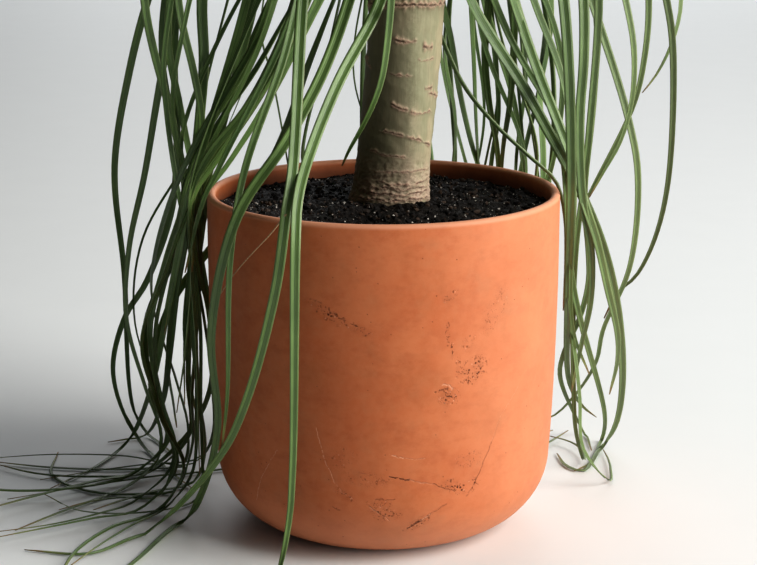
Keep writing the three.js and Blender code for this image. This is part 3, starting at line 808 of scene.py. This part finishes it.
def blade_sides(route, ways, shares, twist):
    """At each point of a leaf, the way across its blade"""
    open_by = open_turn(route)
    sides = []
    carried = np.cross((0, 0, 1), ways[0])
    for point, way, share in zip(route, ways, shares):
        carried = unit(carried - way * carried.dot(way))
        turn = open_by * smooth_step(share / FACED_AT) + twist * share
        side = carried * math.cos(turn) + np.cross(way, carried) * math.sin(turn)
        flat = np.cross((0, 0, 1), way)
        flat = unit(flat) if np.linalg.norm(flat) > 1e-6 else side
        if flat.dot(side) < 0:
            flat = -flat
        lying = smooth_step((FLAT_FROM - point[2]) / (FLAT_FROM - ALL_FLAT_AT))
        side = side + (flat - side) * lying
        sides.append(unit(side - way * side.dot(way)))
    return np.array(sides)


def blade(route, width, twist, step):
    """Corners of one blade, section by section, and what its material reads there"""
    route = np.array(route)
    lengths = np.concatenate([[0], np.cumsum(np.linalg.norm(np.diff(route, axis=0), axis=1))])
    whole = lengths[-1]
    ways = lengthwise_unit(np.gradient(route, axis=0))
    sides = blade_sides(route, ways, lengths / whole, twist)
    marks = np.linspace(0, whole, max(6, int(whole / step) + 1))
    middle, side, way = (
        np.array([np.interp(marks, lengths, values[:, k]) for k in range(3)]).T
        for values in (route, sides, ways))
    middle[:, 2] = np.maximum(middle[:, 2], FLOOR_HEIGHT)
    side = lengthwise_unit(side)
    over = lengthwise_unit(np.cross(way, side))
    across, under = np.array(SECTION).T[:, None]
    half = blade_width(width, marks, whole)[:, None] / 2
    rise = (FOLD * abs(across) ** 1.2 - 0.4 * FOLD) * half
    rise -= under * np.minimum(BLADE_THICKNESS, half * 0.55)
    corners = (middle[:, None] + side[:, None] * (across * half)[:, :, None]
               + over[:, None] * rise[:, :, None])
    corners[:, :, 2] = np.maximum(corners[:, :, 2], FLOOR_CLEARANCE)
    spread = np.zeros_like(rise)
    reach = marks[:, None]
    layers = {"across": spread + across, "under": spread + under,
              "along": spread + reach / whole, "reach": spread + reach}
    return corners.reshape(-1, 3), layers


def blades_piece(routes, step):
    """One mesh of all the blades given as (route, width, twist, tone)"""
    corners, faces, layers = [], [], {}
    sides = len(SECTION)
    base = 0
    for route, width, twist, tone in routes:
        points, read = blade(route, width, twist, step)
        rows = len(points) // sides
        for k in range(rows - 1):
            for j in range(sides):
                a = base + k * sides + j
                b = base + k * sides + (j + 1) % sides
                faces.append((a, a + sides, b + sides, b))
        faces.append(tuple(range(base, base + sides)))
        faces.append(tuple(range(base + rows * sides - 1, base + (rows - 1) * sides - 1, -1)))
        corners.append(points)
        for name, values in (*read.items(), ("tone", np.full(len(points), tone))):
            layers.setdefault(name, []).append(values.ravel())
        base += len(points)
    joined = {name: np.concatenate(values) for name, values in layers.items()}
    return new_mesh(np.concatenate(corners), faces, joined)


# Materials


def clay_finish(pot):
    """Smooth fired clay: clouded, finely speckled, paler along the lip, scratched and pitted"""
    clay = Finish("fired_clay")
    place = clay.place()
    x, y, height = clay.parts(place)
    turn = clay.node("ShaderNodeMath", {"operation": "ARCTAN2"}, [x, y * -1])
    arc = turn * POT_RADIUS + (clay.cloud(place, 3.4, 3.0) - 0.5) * MARK_STRAY
    level = height + (clay.cloud(place, 2.6, 3.0) - 0.5) * MARK_STRAY
    clouds = clay.cloud(place, 42.0, 4.0, 0.6).ramp(0.32, 0.68)
    wisps = clay.cloud(clay.stretched(place, 1, 1, 1.8), 13.0, 5.0, 0.65).ramp(0.42, 0.75)
    stains = clay.cloud(clay.stretched(place, 1, 1, 0.8), 27.0, 6.0, 0.62).ramp(0.46, 0.78)
    smoky = clay.cloud(place, 16.0, 5.0, 0.65).ramp(0.5, 0.78)
    mottle = clay.cloud(place, 4.5, 4.0, 0.6).ramp(0.3, 0.7)
    grain = clay.cloud(place, 0.55, 2.0)
    # Painted highlight and reflection: the clay is painted paler towards the lit right side, and paler
    # towards the foot where it would reflect the pale floor
    painted_sheen = (x.ramp(15, 100) * 0.2).largest(height.ramp(45, 5) * 0.32)
    # Painted shade: the side away from the light, on the left, is painted a darker, deeper red-brown
    painted_shade_left = x.ramp(-50, -98)
    # The top of the lip is painted paler, in the pale clay colour
    lip = height.ramp(POT_HEIGHT - 3.2, POT_HEIGHT - 0.8)
    pits, pale, dark, dug = pot_marks(clay, arc, level, place)
    damp = damp_inside(clay, x, y, height)
    tint = clay.coated(
        pot.clay,
        (clouds * 0.5, (0.56, 0.19, 0.080)),
        (wisps * 0.48, (0.36, 0.088, 0.030)),
        (stains * 0.5, (0.34, 0.105, 0.036)),
        (smoky * 0.28, (0.36, 0.165, 0.080)),
        # Painted sheen on the right and painted floor reflection at the foot
        (painted_sheen, (0.74, 0.39, 0.25)),
        # Painted shade on the left side
        (painted_shade_left * 0.35, (0.38, 0.10, 0.022)),
        (mottle * 0.14, (0.60, 0.24, 0.12)),
        ((grain - 0.35) * 0.18, (0.62, 0.27, 0.14)),
        (lip * 0.5, pot.clay_pale),
        (damp * 0.75, (0.10, 0.035, 0.018)),
        (pale * 0.7, pot.clay_pale),
        (dark.largest(pits) * 0.9, pot.clay_dark))
    relief = grain * 0.05 - pits - dug * 0.8
    rough = clay.cloud(place, 7.0, 3.0) * 0.16 + 0.5 + pits * 0.2 + damp * 0.1
    return clay.surfaces(Base_Color=tint, Roughness=rough, Normal=clay.bump(relief, 0.45),
                         Specular_IOR_Level=0.2)


def damp_inside(clay, x, y, height):
    """The inner wall just above the soil is stained"""
    reach = (x * x + y * y).root()
    inside = reach.ramp(POT_RADIUS - 3.2, POT_RADIUS - 4.6) * height.ramp(140, 160)
    wave = clay.cloud(clay.place(), 9.0, 3.0) * 6
    return inside * (height - wave).ramp(POT_HEIGHT - 3, SOIL_HEIGHT - 2)


def pot_marks(clay, arc, level, place):
    """Pits, pale scratches, dark scratches and their depth, each 0 to 1"""
    nothing = clay.node("ShaderNodeValue") * 0
    pale = dark = dug = share = nothing
    rubbed = clay.cloud(place, 1.5, 3.0)
    broken = rubbed.ramp(0.36, 0.50)
    for route, half, paleness, depth in POT_SCRATCHES:
        line = scratch(arc, level, route, half) * broken
        dug = dug.largest(line * depth)
        if paleness > 0:
            pale = pale.largest(line * paleness)
        else:
            dark = dark.largest(line * -paleness)
    for angle, height, half_width, half_height, slope, amount in POT_PITS:
        across = (arc - math.radians(angle) * POT_RADIUS) / half_width
        up = (level - height - across * slope * half_width) / half_height
        near = 1 - (across * across + up * up).ramp(0.1, 1.8)
        share = share.largest(near * amount)
    specks = 1 - clay.cells(place, 2.2).ramp(0.22, 0.33)
    fine = 1 - clay.cells(place, 1.1).ramp(0.22, 0.36)
    stray = 1 - clay.cells(place, 6.5).ramp(0.04, 0.07)
    flecks = 1 - clay.cells(place, 2.9).ramp(0.12, 0.22)
    chosen = clay.cloud(place, 3.0, 2.0).ramp(0.42, 0.52)
    pits = (specks.largest(fine * 0.75) * chosen * share).largest(stray * 0.55)
    chalky = flecks * share * rubbed.ramp(0.42, 0.52)
    bloom = share * clay.cloud(place, 4.0, 3.0).ramp(0.35, 0.8) * 0.22
    return pits, pale.largest(chalky * 0.8), dark.largest(bloom), dug


def scratch(arc, level, route, half):
    """1 on a scratch along places on the wall, 0 off it"""
    away = None
    for (angle_a, height_a), (angle_b, height_b) in zip(route, route[1:]):
        arc_a, arc_b = (math.radians(angle) * POT_RADIUS for angle in (angle_a, angle_b))
        run, rise = arc_b - arc_a, height_b - height_a
        square = run * run + rise * rise
        over = arc - arc_a
        up = level - height_a
        share = (over * (run / square) + up * (rise / square)).largest(0).smallest(1)
        off_x = over - share * run
        off_y = up - share * rise
        apart = (off_x * off_x + off_y * off_y).root()
        away = apart if away is None else away.smallest(apart)
    return 1 - away.ramp(half * 0.5, half * 1.8)


def peat_finish(soil):
    """Damp peat: nearly black, with browner crumbs that catch a little light"""
    peat = Finish("damp_peat")
    place = peat.place()
    tone = peat.cloud(place, 2.6, 5.0, 0.7).ramp(0.35, 0.8)
    fibres = peat.cloud(peat.stretched(place, 0.35, 1.2, 1), 0.8, 3.0).ramp(0.6, 0.75)
    tint = peat.coated(soil.peat, (tone * 0.5, (0.020, 0.013, 0.009)),
                       (fibres * 0.35, (0.06, 0.035, 0.02)))
    height = peat.cloud(place, 1.3, 6.0, 0.7)
    rough = peat.cloud(place, 1.6, 3.0) * 0.3 + 0.55
    return peat.surfaces(Base_Color=tint, Roughness=rough, Normal=peat.bump(height, 0.7),
                         Specular_IOR_Level=0.2)


def crumb_finish(soil):
    """Loose crumbs, from black to brown by the crumb's own tone"""
    crumb = Finish("peat_crumbs")
    tone = crumb.attribute("tone")
    tint = crumb.blend(tone.ramp(0.55, 1.0), soil.peat, (0.05, 0.03, 0.018))
    height = crumb.cloud(crumb.place(), 0.6, 4.0, 0.7)
    return crumb.surfaces(Base_Color=tint, Roughness=0.9 - tone * 0.35,
                          Normal=crumb.bump(height, 0.3), Specular_IOR_Level=0.25)


def grit_finish(soil):
    """Chalky pale grains with a little dirt"""
    grit = Finish("pale_grit")
    place = grit.place()
    dirt = grit.cloud(place, 0.8, 3.0).ramp(0.45, 0.7)
    tint = grit.blend(dirt * 0.6, soil.grit, (0.12, 0.09, 0.07))
    return grit.surfaces(Base_Color=tint, Roughness=0.8,
                         Normal=grit.bump(grit.cloud(place, 0.3, 3.0), 0.15))


def bark_finish(trunk):
    """Grey-green bark with fine upright streaks, rough tan scars and dark cracks"""
    bark = Finish("ringed_bark")
    place = bark.place()
    x, _, height = bark.parts(place)
    scar, crack, flaky = (bark.attribute(name) for name in ("scar", "crack", "flaky"))
    streaks = bark.cloud(bark.stretched(place, 1, 1, 0.05), 1.1, 4.0, 0.7)
    broad = bark.cloud(bark.stretched(place, 1, 1, 0.35), 16.0, 3.0).ramp(0.35, 0.65)
    spots = bark.cloud(place, 1.4, 4.0, 0.7)
    # How far round the trunk faces the light on the right, with a little noise
    towards_light = (x - TRUNK_MIDDLE[0]) / TRUNK_RADIUS + (spots - 0.5) * 0.4
    rosy = (scar * (spots.ramp(0.35, 0.6) * 0.8 + 0.2)).smallest(1)
    tint = bark.coated(
        trunk.bark,
        (broad, trunk.bark_green),
        (streaks.ramp(0.45, 0.72) * 0.3, (0.17, 0.13, 0.075)),
        (streaks.ramp(0.48, 0.28) * 0.2, (0.50, 0.46, 0.32)),
        (flaky * 0.8, (0.56, 0.41, 0.31)),
        (flaky * spots.ramp(0.48, 0.6) * 0.75, (0.17, 0.10, 0.06)),
        # Painted shade: the side of the trunk away from the light is painted dark brown
        (towards_light.ramp(0.5, -0.05) * 0.62, (0.075, 0.06, 0.035)),
        # Painted shadow: the top of the trunk is painted darker olive where the crown shades it
        (height.ramp(286, 298) * 0.45, (0.10, 0.10, 0.05)),
        (rosy, trunk.scar),
        (scar * spots.ramp(0.52, 0.62) * 0.85, (0.17, 0.08, 0.05)),
        (crack, trunk.crack))
    relief = streaks * 0.15 + spots * (flaky + 0.12 + scar * 1.2)
    rough = scar * 0.2 + 0.72 - streaks * 0.12
    return bark.surfaces(Base_Color=tint, Roughness=rough, Normal=bark.bump(relief, 0.5),
                         Specular_IOR_Level=0.35)


def leaf_finish(leaves, name, young):
    """A satin leaf: veined along its length, pale at the edges and dry at the tip"""
    leaf = Finish(name)
    place = leaf.place()
    across, along, reach, tone, under = (
        leaf.attribute(layer) for layer in ("across", "along", "reach", "tone", "under"))
    patches = leaf.cloud(place, 26.0, 3.0).ramp(0.3, 0.7)
    edge = abs(across)
    veins = (across * 21).sine() * 0.5 + 0.5
    ribs = (across * 47).sine() * 0.5 + 0.5
    # Place from left to right, for the painted shade and painted light on the leaves
    side = leaf.parts(place)[0]
    old = along + leaf.cloud(place, 8.0, 2.0) * 0.03
    yellow = old.ramp(0.95, 0.998)
    tint = leaf.coated(
        leaves.green_dark,
        (tone * 0.65 + patches * 0.35, leaves.green_light),
        # Painted shade: leaves on the left, away from the light, are painted darker
        (side.ramp(-60, -150) * 0.3, leaves.green_dark),
        # Painted light: leaves on the right, towards the light, are painted paler
        (side.ramp(85, 150) * 0.3, (0.33, 0.36, 0.19)),
        (under * 0.3, (0.17, 0.26, 0.11)),
        (veins * 0.2, (0.21, 0.31, 0.10)),
        # Painted shade: a dark line along the blade's fold
        (edge.ramp(0.16, 0.02) * 0.55, (0.03, 0.07, 0.018)),
        (edge.ramp(0.84, 0.98) * 0.6, leaves.margin),
        (reach.ramp(46, 4) * 0.8, (0.42, 0.44, 0.20)))
    if young:
        tint = leaf.blend(0.45, tint, (0.16, 0.29, 0.06))
    tint = leaf.coated(tint, (yellow * 0.6, (0.34, 0.33, 0.10)),
                       (old.ramp(0.99, 1.0) * 0.7, leaves.dry))
    rough = leaf.cloud(place, 5.0, 2.0) * 0.14 + 0.28 + yellow * 0.2
    return leaf.surfaces(Base_Color=tint, Roughness=rough, Specular_IOR_Level=0.6,
                         Normal=leaf.bump(ribs * 0.5 + veins * 0.5, 0.10))


def dry_finish(leaves):
    """Papery brown, as dry fibres and old leaf bases are"""
    dry = Finish("dry_fibre")
    streaks = dry.cloud(dry.stretched(dry.place(), 1, 1, 0.2), 0.8, 4.0)
    tint = dry.blend(streaks.ramp(0.3, 0.7), leaves.dry, (0.46, 0.33, 0.19))
    return dry.surfaces(Base_Color=tint, Roughness=0.75, Normal=dry.bump(streaks, 0.2))


def floor_finish():
    floor = Finish("pale_floor")
    tone = floor.cloud(floor.place(), 60.0, 4.0)
    tint = floor.blend(tone * 0.25, (0.79, 0.81, 0.80), (0.69, 0.71, 0.70))
    return floor.surfaces(Base_Color=tint, Roughness=0.55, Specular_IOR_Level=0.3)


# Pieces


def wall_profile(inset, top, arc_steps, wall_steps):
    """[radius, height] up the foot's curve and the wall, `inset` inside the outer face"""
    points = [(0.0, inset)]
    reach = FOOT_FILLET - inset
    for k in range(arc_steps + 1):
        turn = math.pi / 2 * k / arc_steps
        points.append((POT_LOW_RADIUS - FOOT_FILLET + reach * math.sin(turn),
                       FOOT_FILLET - reach * math.cos(turn)))
    for k in range(1, wall_steps + 1):
        height = FOOT_FILLET + (top - FOOT_FILLET) * k / wall_steps
        points.append((wall_radius(height) - inset, height))
    return points


class PALM_OT_pot(bpy.types.Operator):
    """Turn the clay pot from its profile and drill its drain holes"""

    bl_idname = "palm.pot"
    bl_label = "Clay pot"

    def execute(self, context):
        pot = context.scene.palm_pot
        lip = POT_WALL / 2
        lip_height = POT_HEIGHT - lip
        lip_steps = 10
        profile = wall_profile(0.0, lip_height, arc_steps=16, wall_steps=14)
        for k in range(1, lip_steps):
            turn = math.pi * k / lip_steps
            profile.append((wall_radius(lip_height) - lip + lip * math.cos(turn),
                            lip_height + lip * math.sin(turn)))
        profile += wall_profile(POT_WALL, lip_height, arc_steps=12, wall_steps=10)[::-1]
        piece = line_of_edges([(radius, 0, height) for radius, height in profile])
        bpy.ops.mesh.select_all(action="SELECT")
        bpy.ops.mesh.spin(steps=pot.steps, angle=2 * math.pi, center=(0, 0, 0), axis=(0, 0, 1))
        bpy.ops.object.mode_set(mode="OBJECT")
        bpy.ops.object.transform_apply()
        close_seams(piece)
        self.drill(piece)
        for vertex in piece.data.vertices:
            place = vertex.co / MM
            if place.z > FLAT_FOOT:
                stray = noise.noise(place / UNEVEN_SPAN) * pot.unevenness
                vertex.co += Vector((place.x, place.y, 0)).normalized() * stray
        hand_over(piece, "clay_pot", clay_finish(pot), ["pot"])
        return {"FINISHED"}

    def drill(self, piece):
        for k in range(DRAIN_COUNT):
            place = polar(90 + 360 * k / DRAIN_COUNT, DRAIN_RING, POT_WALL / 2) * MM
            deselect()
            bpy.ops.mesh.primitive_cylinder_add(vertices=32, radius=DRAIN_RADIUS * MM,
                                                depth=POT_WALL * 3 * MM, location=place)
            tool = bpy.context.object
            take(piece)
            cut = piece.modifiers.new("drain", "BOOLEAN")
            cut.operation = "DIFFERENCE"
            cut.object = tool
            bpy.ops.object.modifier_apply(modifier=cut.name)
            bpy.data.objects.remove(tool)
        bpy.ops.object.shade_smooth_by_angle(angle=math.radians(40))


def soil_top(x, y):
    mound = SOIL_MOUND * (1 - np.hypot(x, y) / POT_RADIUS)
    lumps = (np.sin(x * 0.13 + 1.1) * np.cos(y * 0.11 - 0.4)
             + 0.5 * np.sin(x * 0.31 - y * 0.27))
    return SOIL_HEIGHT + mound + SOIL_LUMP * lumps


class PALM_OT_soil(bpy.types.Operator):
    """Fill the pot with soil that has a crumbly top"""

    bl_idname = "palm.soil"
    bl_label = "Potting soil"

    def execute(self, context):
        below = np.array(wall_profile(POT_WALL + GAP, SOIL_HEIGHT, arc_steps=6, wall_steps=4))
        below_share = 0.2
        rim = below[-1][0]

        def place(angles, shares):
            along = shares / below_share * (len(below) - 1)
            low_radius, low_height = (np.interp(along, range(len(below)), column)
                                      for column in below.T)
            inner = (shares - below_share) / (1 - below_share)
            low = shares < below_share
            radius = np.where(low, low_radius, rim * (1 - inner))
            x, y = radius * np.cos(angles), radius * np.sin(angles)
            flat = np.stack([x, y, np.zeros(len(x))], 1)
            crumbs = 1.5 * noise_at(flat, size=6.0, seed=3.0, octaves=5)
            fine = 0.7 * noise_at(flat, size=1.8, seed=9.0, octaves=2)
            height = np.where(low, low_height, soil_top(x, y) + crumbs + fine)
            return np.stack([x, y, height], 1), {}

        piece = rolled_sheet(around=380, rows=150, place=place)
        hand_over(piece, "potting_soil", peat_finish(context.scene.palm_soil), ["soil"])
        return {"FINISHED"}


def pebbles(count, seed, sizes, sink, flat):
    """Small angular lumps strewn over the soil, each a rough icosphere"""
    deselect()
    bpy.ops.mesh.primitive_ico_sphere_add(subdivisions=1, radius=1)
    start = bpy.context.object
    ball = np.array([v.co[:] for v in start.data.vertices])
    triangles = [tuple(f.vertices) for f in start.data.polygons]
    bpy.data.objects.remove(start)
    corners, faces, tones = [], [], []
    rim = wall_radius(SOIL_HEIGHT) - POT_WALL - RIM_MARGIN
    trunk = trunk_centre(SOIL_HEIGHT)
    least, most = sizes
    for k in range(count):
        spot = polar(draw(k, seed, 0, 360), rim * math.sqrt(draw(k, seed + 1, 0, 1)), 0)
        if math.hypot(spot[0] - trunk[0], spot[1] - trunk[1]) < TRUNK_RADIUS + TRUNK_MARGIN:
            continue
        size = least + (most - least) * draw(k, seed + 2, 0, 1) ** 3
        spot[2] = soil_top(spot[0], spot[1]) + size * (0.5 - sink)
        turn = draw(k, seed + 3, 0, 2 * math.pi)
        scale = np.array([draw(k, seed + 4, 0.6, 1.5), draw(k, seed + 5, 0.5, 1.0), flat])
        rough = np.array([draw(k * 13 + j, seed + 6, 0.7, 1.25) for j in range(len(ball))])
        x, y, z = (ball * rough[:, None] * scale * size / 2).T
        base = len(ball) * len(corners)
        corners.append(np.stack([x * math.cos(turn) - y * math.sin(turn),
                                 x * math.sin(turn) + y * math.cos(turn), z], 1) + spot)
        faces += [tuple(base + v for v in triangle) for triangle in triangles]
        tones += [draw(k, seed + 7, 0, 1)] * len(ball)
    return new_mesh(np.concatenate(corners), faces, {"tone": tones}, smooth=False)


class PALM_OT_crumbs(bpy.types.Operator):
    """Strew crumbs of peat and pale grains over the soil"""

    bl_idname = "palm.crumbs"
    bl_label = "Crumbs and grit"

    def execute(self, context):
        soil = context.scene.palm_soil
        crumbs = pebbles(soil.crumbs, seed=50, sizes=(0.9, 4.2), sink=0.25, flat=0.8)
        hand_over(crumbs, "peat_crumbs", crumb_finish(soil))
        grains = pebbles(soil.grains, seed=70, sizes=(0.3, 1.3), sink=-0.3, flat=0.8)
        hand_over(grains, "grit_grains", grit_finish(soil))
        return {"FINISHED"}


def ring_noise(angles, size, seed):
    """Noise round the trunk that joins up with itself"""
    marks = np.arange(361)
    values = [noise.noise(Vector((math.cos(turn) * size, math.sin(turn) * size, seed)))
              for turn in np.radians(marks)]
    return np.interp(angles % 360, marks, values)


def hidden_scar(k):
    """A scar on the side of the trunk that faces away"""
    return (draw(k, 81, 75, 285), draw(k, 82, 186, 345), draw(k, 83, 10, 50),
            draw(k, 84, -0.08, 0.08), draw(k, 85, 0.7, 1.8), draw(k, 86, 0.3, 0.9),
            draw(k, 87, 0.4, 1.0))


def bark_relief(angles, heights):
    """Lift in millimetres and the shares of scar, crack and flaky bark at each corner"""
    lift, scar, crack = np.zeros((3, len(angles)))
    scars = (*BARK_SCARS, *(hidden_scar(k) for k in range(HIDDEN_SCARS)))
    for n, (middle, level, half, slope, size, rise, depth) in enumerate(scars):
        away = (angles - middle + 180) % 360 - 180
        wander = ring_noise(angles, 2.2, n * 3.7)
        rough = ring_noise(angles, 9, n * 3.7)
        ends = np.clip((1 - np.abs(away) / half) * 3.5 + rough * 0.6, 0, 1)
        offset = heights - (level + slope * away + wander * 1.6 + rough * 0.7)
        lips = np.exp(-(offset / (size * (0.8 + rough * 0.8))) ** 2) * ends
        gap = np.exp(-((offset + 0.1 * size) / (0.22 * size + 0.16)) ** 2) * ends
        gap *= np.clip(0.9 + wander * 1.2 + rough * 1.6, 0, 1)
        lift += rise * lips - 1.2 * depth * gap
        scar = np.maximum(scar, lips * np.clip(0.35 + size * 0.4 + rough * 0.5, 0, 1))
        crack = np.maximum(crack, gap * np.clip(depth * 1.3, 0, 1))
    flaky = np.clip((FLAKY_BELOW - heights) / 24, 0, 1)
    return lift, scar, crack, flaky


class PALM_OT_trunk(bpy.types.Operator):
    """Raise the leaning trunk with its leaf scars and flaky foot"""

    bl_idname = "palm.trunk"
    bl_label = "Trunk"

    def execute(self, context):
        buried = 0.12
        fine_from = SOIL_HEIGHT - 8

        def place(turns, shares):
            heights = np.interp(shares, (0, buried, 1),
                                (TRUNK_BOTTOM, fine_from, TRUNK_TOP[2]))
            angles = np.degrees(turns)
            lift, scar, crack, flaky = bark_relief(angles, heights)
            flare = TRUNK_FLARE * np.exp(-((heights - SOIL_HEIGHT + 6) / 17) ** 2)
            blunt = np.sqrt(np.clip((heights - TRUNK_BOTTOM + 3) / 26, 0, 1))
            centres = np.array([trunk_centre(height) for height in heights])
            outward = np.stack([np.sin(turns), -np.cos(turns), np.zeros(len(turns))], 1)
            skin = centres + outward * TRUNK_RADIUS
            coarse = noise_at(skin, size=9.0, seed=1.0, octaves=3)
            shreds = noise_at(skin * (1, 1, 1.6), size=2.4, seed=5.0, octaves=3)
            radius = (TRUNK_RADIUS + flare) * blunt + lift
            radius += 0.35 * np.sin(np.radians(3 * (angles - 90)) + heights * 0.05)
            radius += 0.35 * coarse + flaky * shreds * 0.7
            radius[(shares == 0) | (shares == 1)] = 0
            layers = {"scar": scar, "crack": crack,
                      "flaky": flaky * np.clip(0.7 + coarse, 0, 1)}
            return centres + outward * radius[:, None], layers

        piece = rolled_sheet(around=230, rows=400, place=place)
        hand_over(piece, "trunk_bark", bark_finish(context.scene.palm_trunk), ["trunk"])
        return {"FINISHED"}


class PALM_OT_leaves(bpy.types.Operator):
    """Grow the placed, the grown and the young leaves, and hang a dry fibre from one"""

    bl_idname = "palm.leaves"
    bl_label = "Leaves"

    def execute(self, context):
        leaves = context.scene.palm_leaves
        step = leaves.step / MM
        plain = leaves.plain_width / MM
        widths = {"wide": leaves.wide_width / MM, "plain": plain}
        placed = [(placed_leaf(points), widths[kind], draw(k, 41, -0.6, 0.6),
                   draw(k, 46, 0.3, 1.0)) for k, (kind, *points) in enumerate(PLACED_LEAVES)]
        grown = [(grown_leaf(k), plain * draw(k, 42, 0.5, 1.2), draw(k, 43, -2.2, 2.2),
                  draw(k, 47, 0, 1)) for k in range(GROWN_LEAVES)]
        young = [(young_leaf(k), plain * draw(k, 44, 0.8, 1.05), draw(k, 45, -0.6, 0.6),
                  draw(k, 48, 0.2, 1)) for k in range(YOUNG_LEAVES)]
        green = leaf_finish(leaves, "leaf_green", young=False)
        fresh = leaf_finish(leaves, "leaf_young", young=True)
        for name, routes, finish in (("leaves_placed", placed, green),
                                     ("leaves_grown", grown, green),
                                     ("leaves_young", young, fresh)):
            hand_over(blades_piece(routes, step), name, finish, ["leaf_head"])
        fibre_width, fibre_twist = 1.5, 0.8
        route = smooth_route([np.array(point, float) for point in DRY_FIBRE])
        fibre = blades_piece([(route, fibre_width, fibre_twist, 0)], step)
        hand_over(fibre, "dry_fibre", dry_finish(leaves))
        return {"FINISHED"}


class PALM_OT_crown(bpy.types.Operator):
    """Shape the short stem that carries the leaves, wrapped in old leaf bases"""

    bl_idname = "palm.crown"
    bl_label = "Crown"

    def execute(self, context):
        rings = 11
        closed_height = CORE_HEIGHT + 6

        def place(turns, shares):
            heights = TRUNK_TOP[2] + GAP + closed_height * shares
            rows = shares * rings
            scales = np.abs(np.sin(4 * turns + np.floor(rows) * math.pi / 4))
            overlap = rows - np.floor(rows)
            radius = core_radius(shares) * np.sqrt(np.clip((1 - shares) * 9, 0, 1))
            radius += (1.6 * scales + 0.8) * (1 - overlap) * (shares < 0.98)
            radius[(shares == 0) | (shares == 1)] = 0
            return np.stack([TRUNK_TOP[0] + radius * np.cos(turns),
                             TRUNK_TOP[1] + radius * np.sin(turns), heights], 1), {}

        piece = rolled_sheet(around=120, rows=110, place=place)
        finish = dry_finish(context.scene.palm_leaves)
        hand_over(piece, "crown_bases", finish, ["leaf_head"])
        return {"FINISHED"}


class PALM_OT_stage(bpy.types.Operator):
    """Set up the camera, a plain pale floor and soft light from the right"""

    bl_idname = "palm.stage"
    bl_label = "Stage"

    def execute(self, context):
        stage = context.scene.palm_stage
        deselect()
        bpy.ops.mesh.primitive_plane_add(size=12)
        floor = context.object
        floor.name = "floor"
        floor.data.materials.append(floor_finish())
        bpy.ops.object.camera_add(
            location=(0, -stage.distance, stage.height),
            rotation=(math.pi / 2 - stage.pitch, 0, stage.yaw))
        camera = context.object
        camera.data.sensor_fit = "HORIZONTAL"
        camera.data.sensor_width = SENSOR_WIDTH
        camera.data.lens = stage.lens
        camera.data.clip_start = 0.01
        context.scene.camera = camera
        self.lamp(place=(2.4, -0.95, 1.45), target=(0, 0, 0.5), size=(1.8, 2.9),
                  power=stage.key_power, tint=(1.0, 0.98, 0.95))
        self.lamp(place=(0.6, 4.6, 2.6), target=(0, 0.6, 0), size=(4.0, 4.0),
                  power=stage.key_power * 0.7, tint=(0.97, 0.98, 1.0))
        world = bpy.data.worlds.new("room")
        context.scene.world = world
        world.use_nodes = True
        sky = world.node_tree.nodes["Background"]
        sky.inputs["Color"].default_value = (0.93, 0.95, 0.98, 1)
        sky.inputs["Strength"].default_value = stage.sky
        context.scene.view_settings.view_transform = "Standard"
        context.scene.view_settings.look = "Medium High Contrast"
        return {"FINISHED"}

    def lamp(self, place, target, size, power, tint):
        aim = Vector(target) - Vector(place)
        bpy.ops.object.light_add(type="AREA", location=place,
                                 rotation=aim.to_track_quat("-Z", "Y").to_euler())
        lamp = bpy.context.object
        lamp.data.shape = "RECTANGLE"
        lamp.data.size, lamp.data.size_y = size
        lamp.data.energy = power
        lamp.data.color = tint
        lamp.visible_camera = False


class PALM_PT_panel(bpy.types.Panel):
    """Sizes, colours and steps of the palm"""

    bl_idname = "PALM_PT_panel"
    bl_label = "Ponytail palm"
    bl_space_type = "VIEW_3D"
    bl_region_type = "UI"
    bl_category = "Palm"

    def draw(self, context):
        for name, group in GROUPS.items():
            box = self.layout.box()
            for setting in group.__annotations__:
                box.prop(getattr(context.scene, name), setting)
        for operator in OPERATORS:
            self.layout.operator(operator.bl_idname)


OPERATORS = (
    PALM_OT_stage,
    PALM_OT_pot,
    PALM_OT_soil,
    PALM_OT_crumbs,
    PALM_OT_trunk,
    PALM_OT_crown,
    PALM_OT_leaves,
)


def register():
    for kind in (*GROUPS.values(), *OPERATORS, PALM_PT_panel):
        bpy.utils.register_class(kind)
    for name, group in GROUPS.items():
        setattr(bpy.types.Scene, name, bpy.props.PointerProperty(type=group))


def unregister():
    for name in GROUPS:
        delattr(bpy.types.Scene, name)
    for kind in (PALM_PT_panel, *OPERATORS[::-1], *GROUPS.values()):
        bpy.utils.unregister_class(kind)


def main():
    register()
    for operator in OPERATORS:
        family, step = operator.bl_idname.split(".")
        getattr(getattr(bpy.ops, family), step)()


if __name__ == "__main__":
    main()
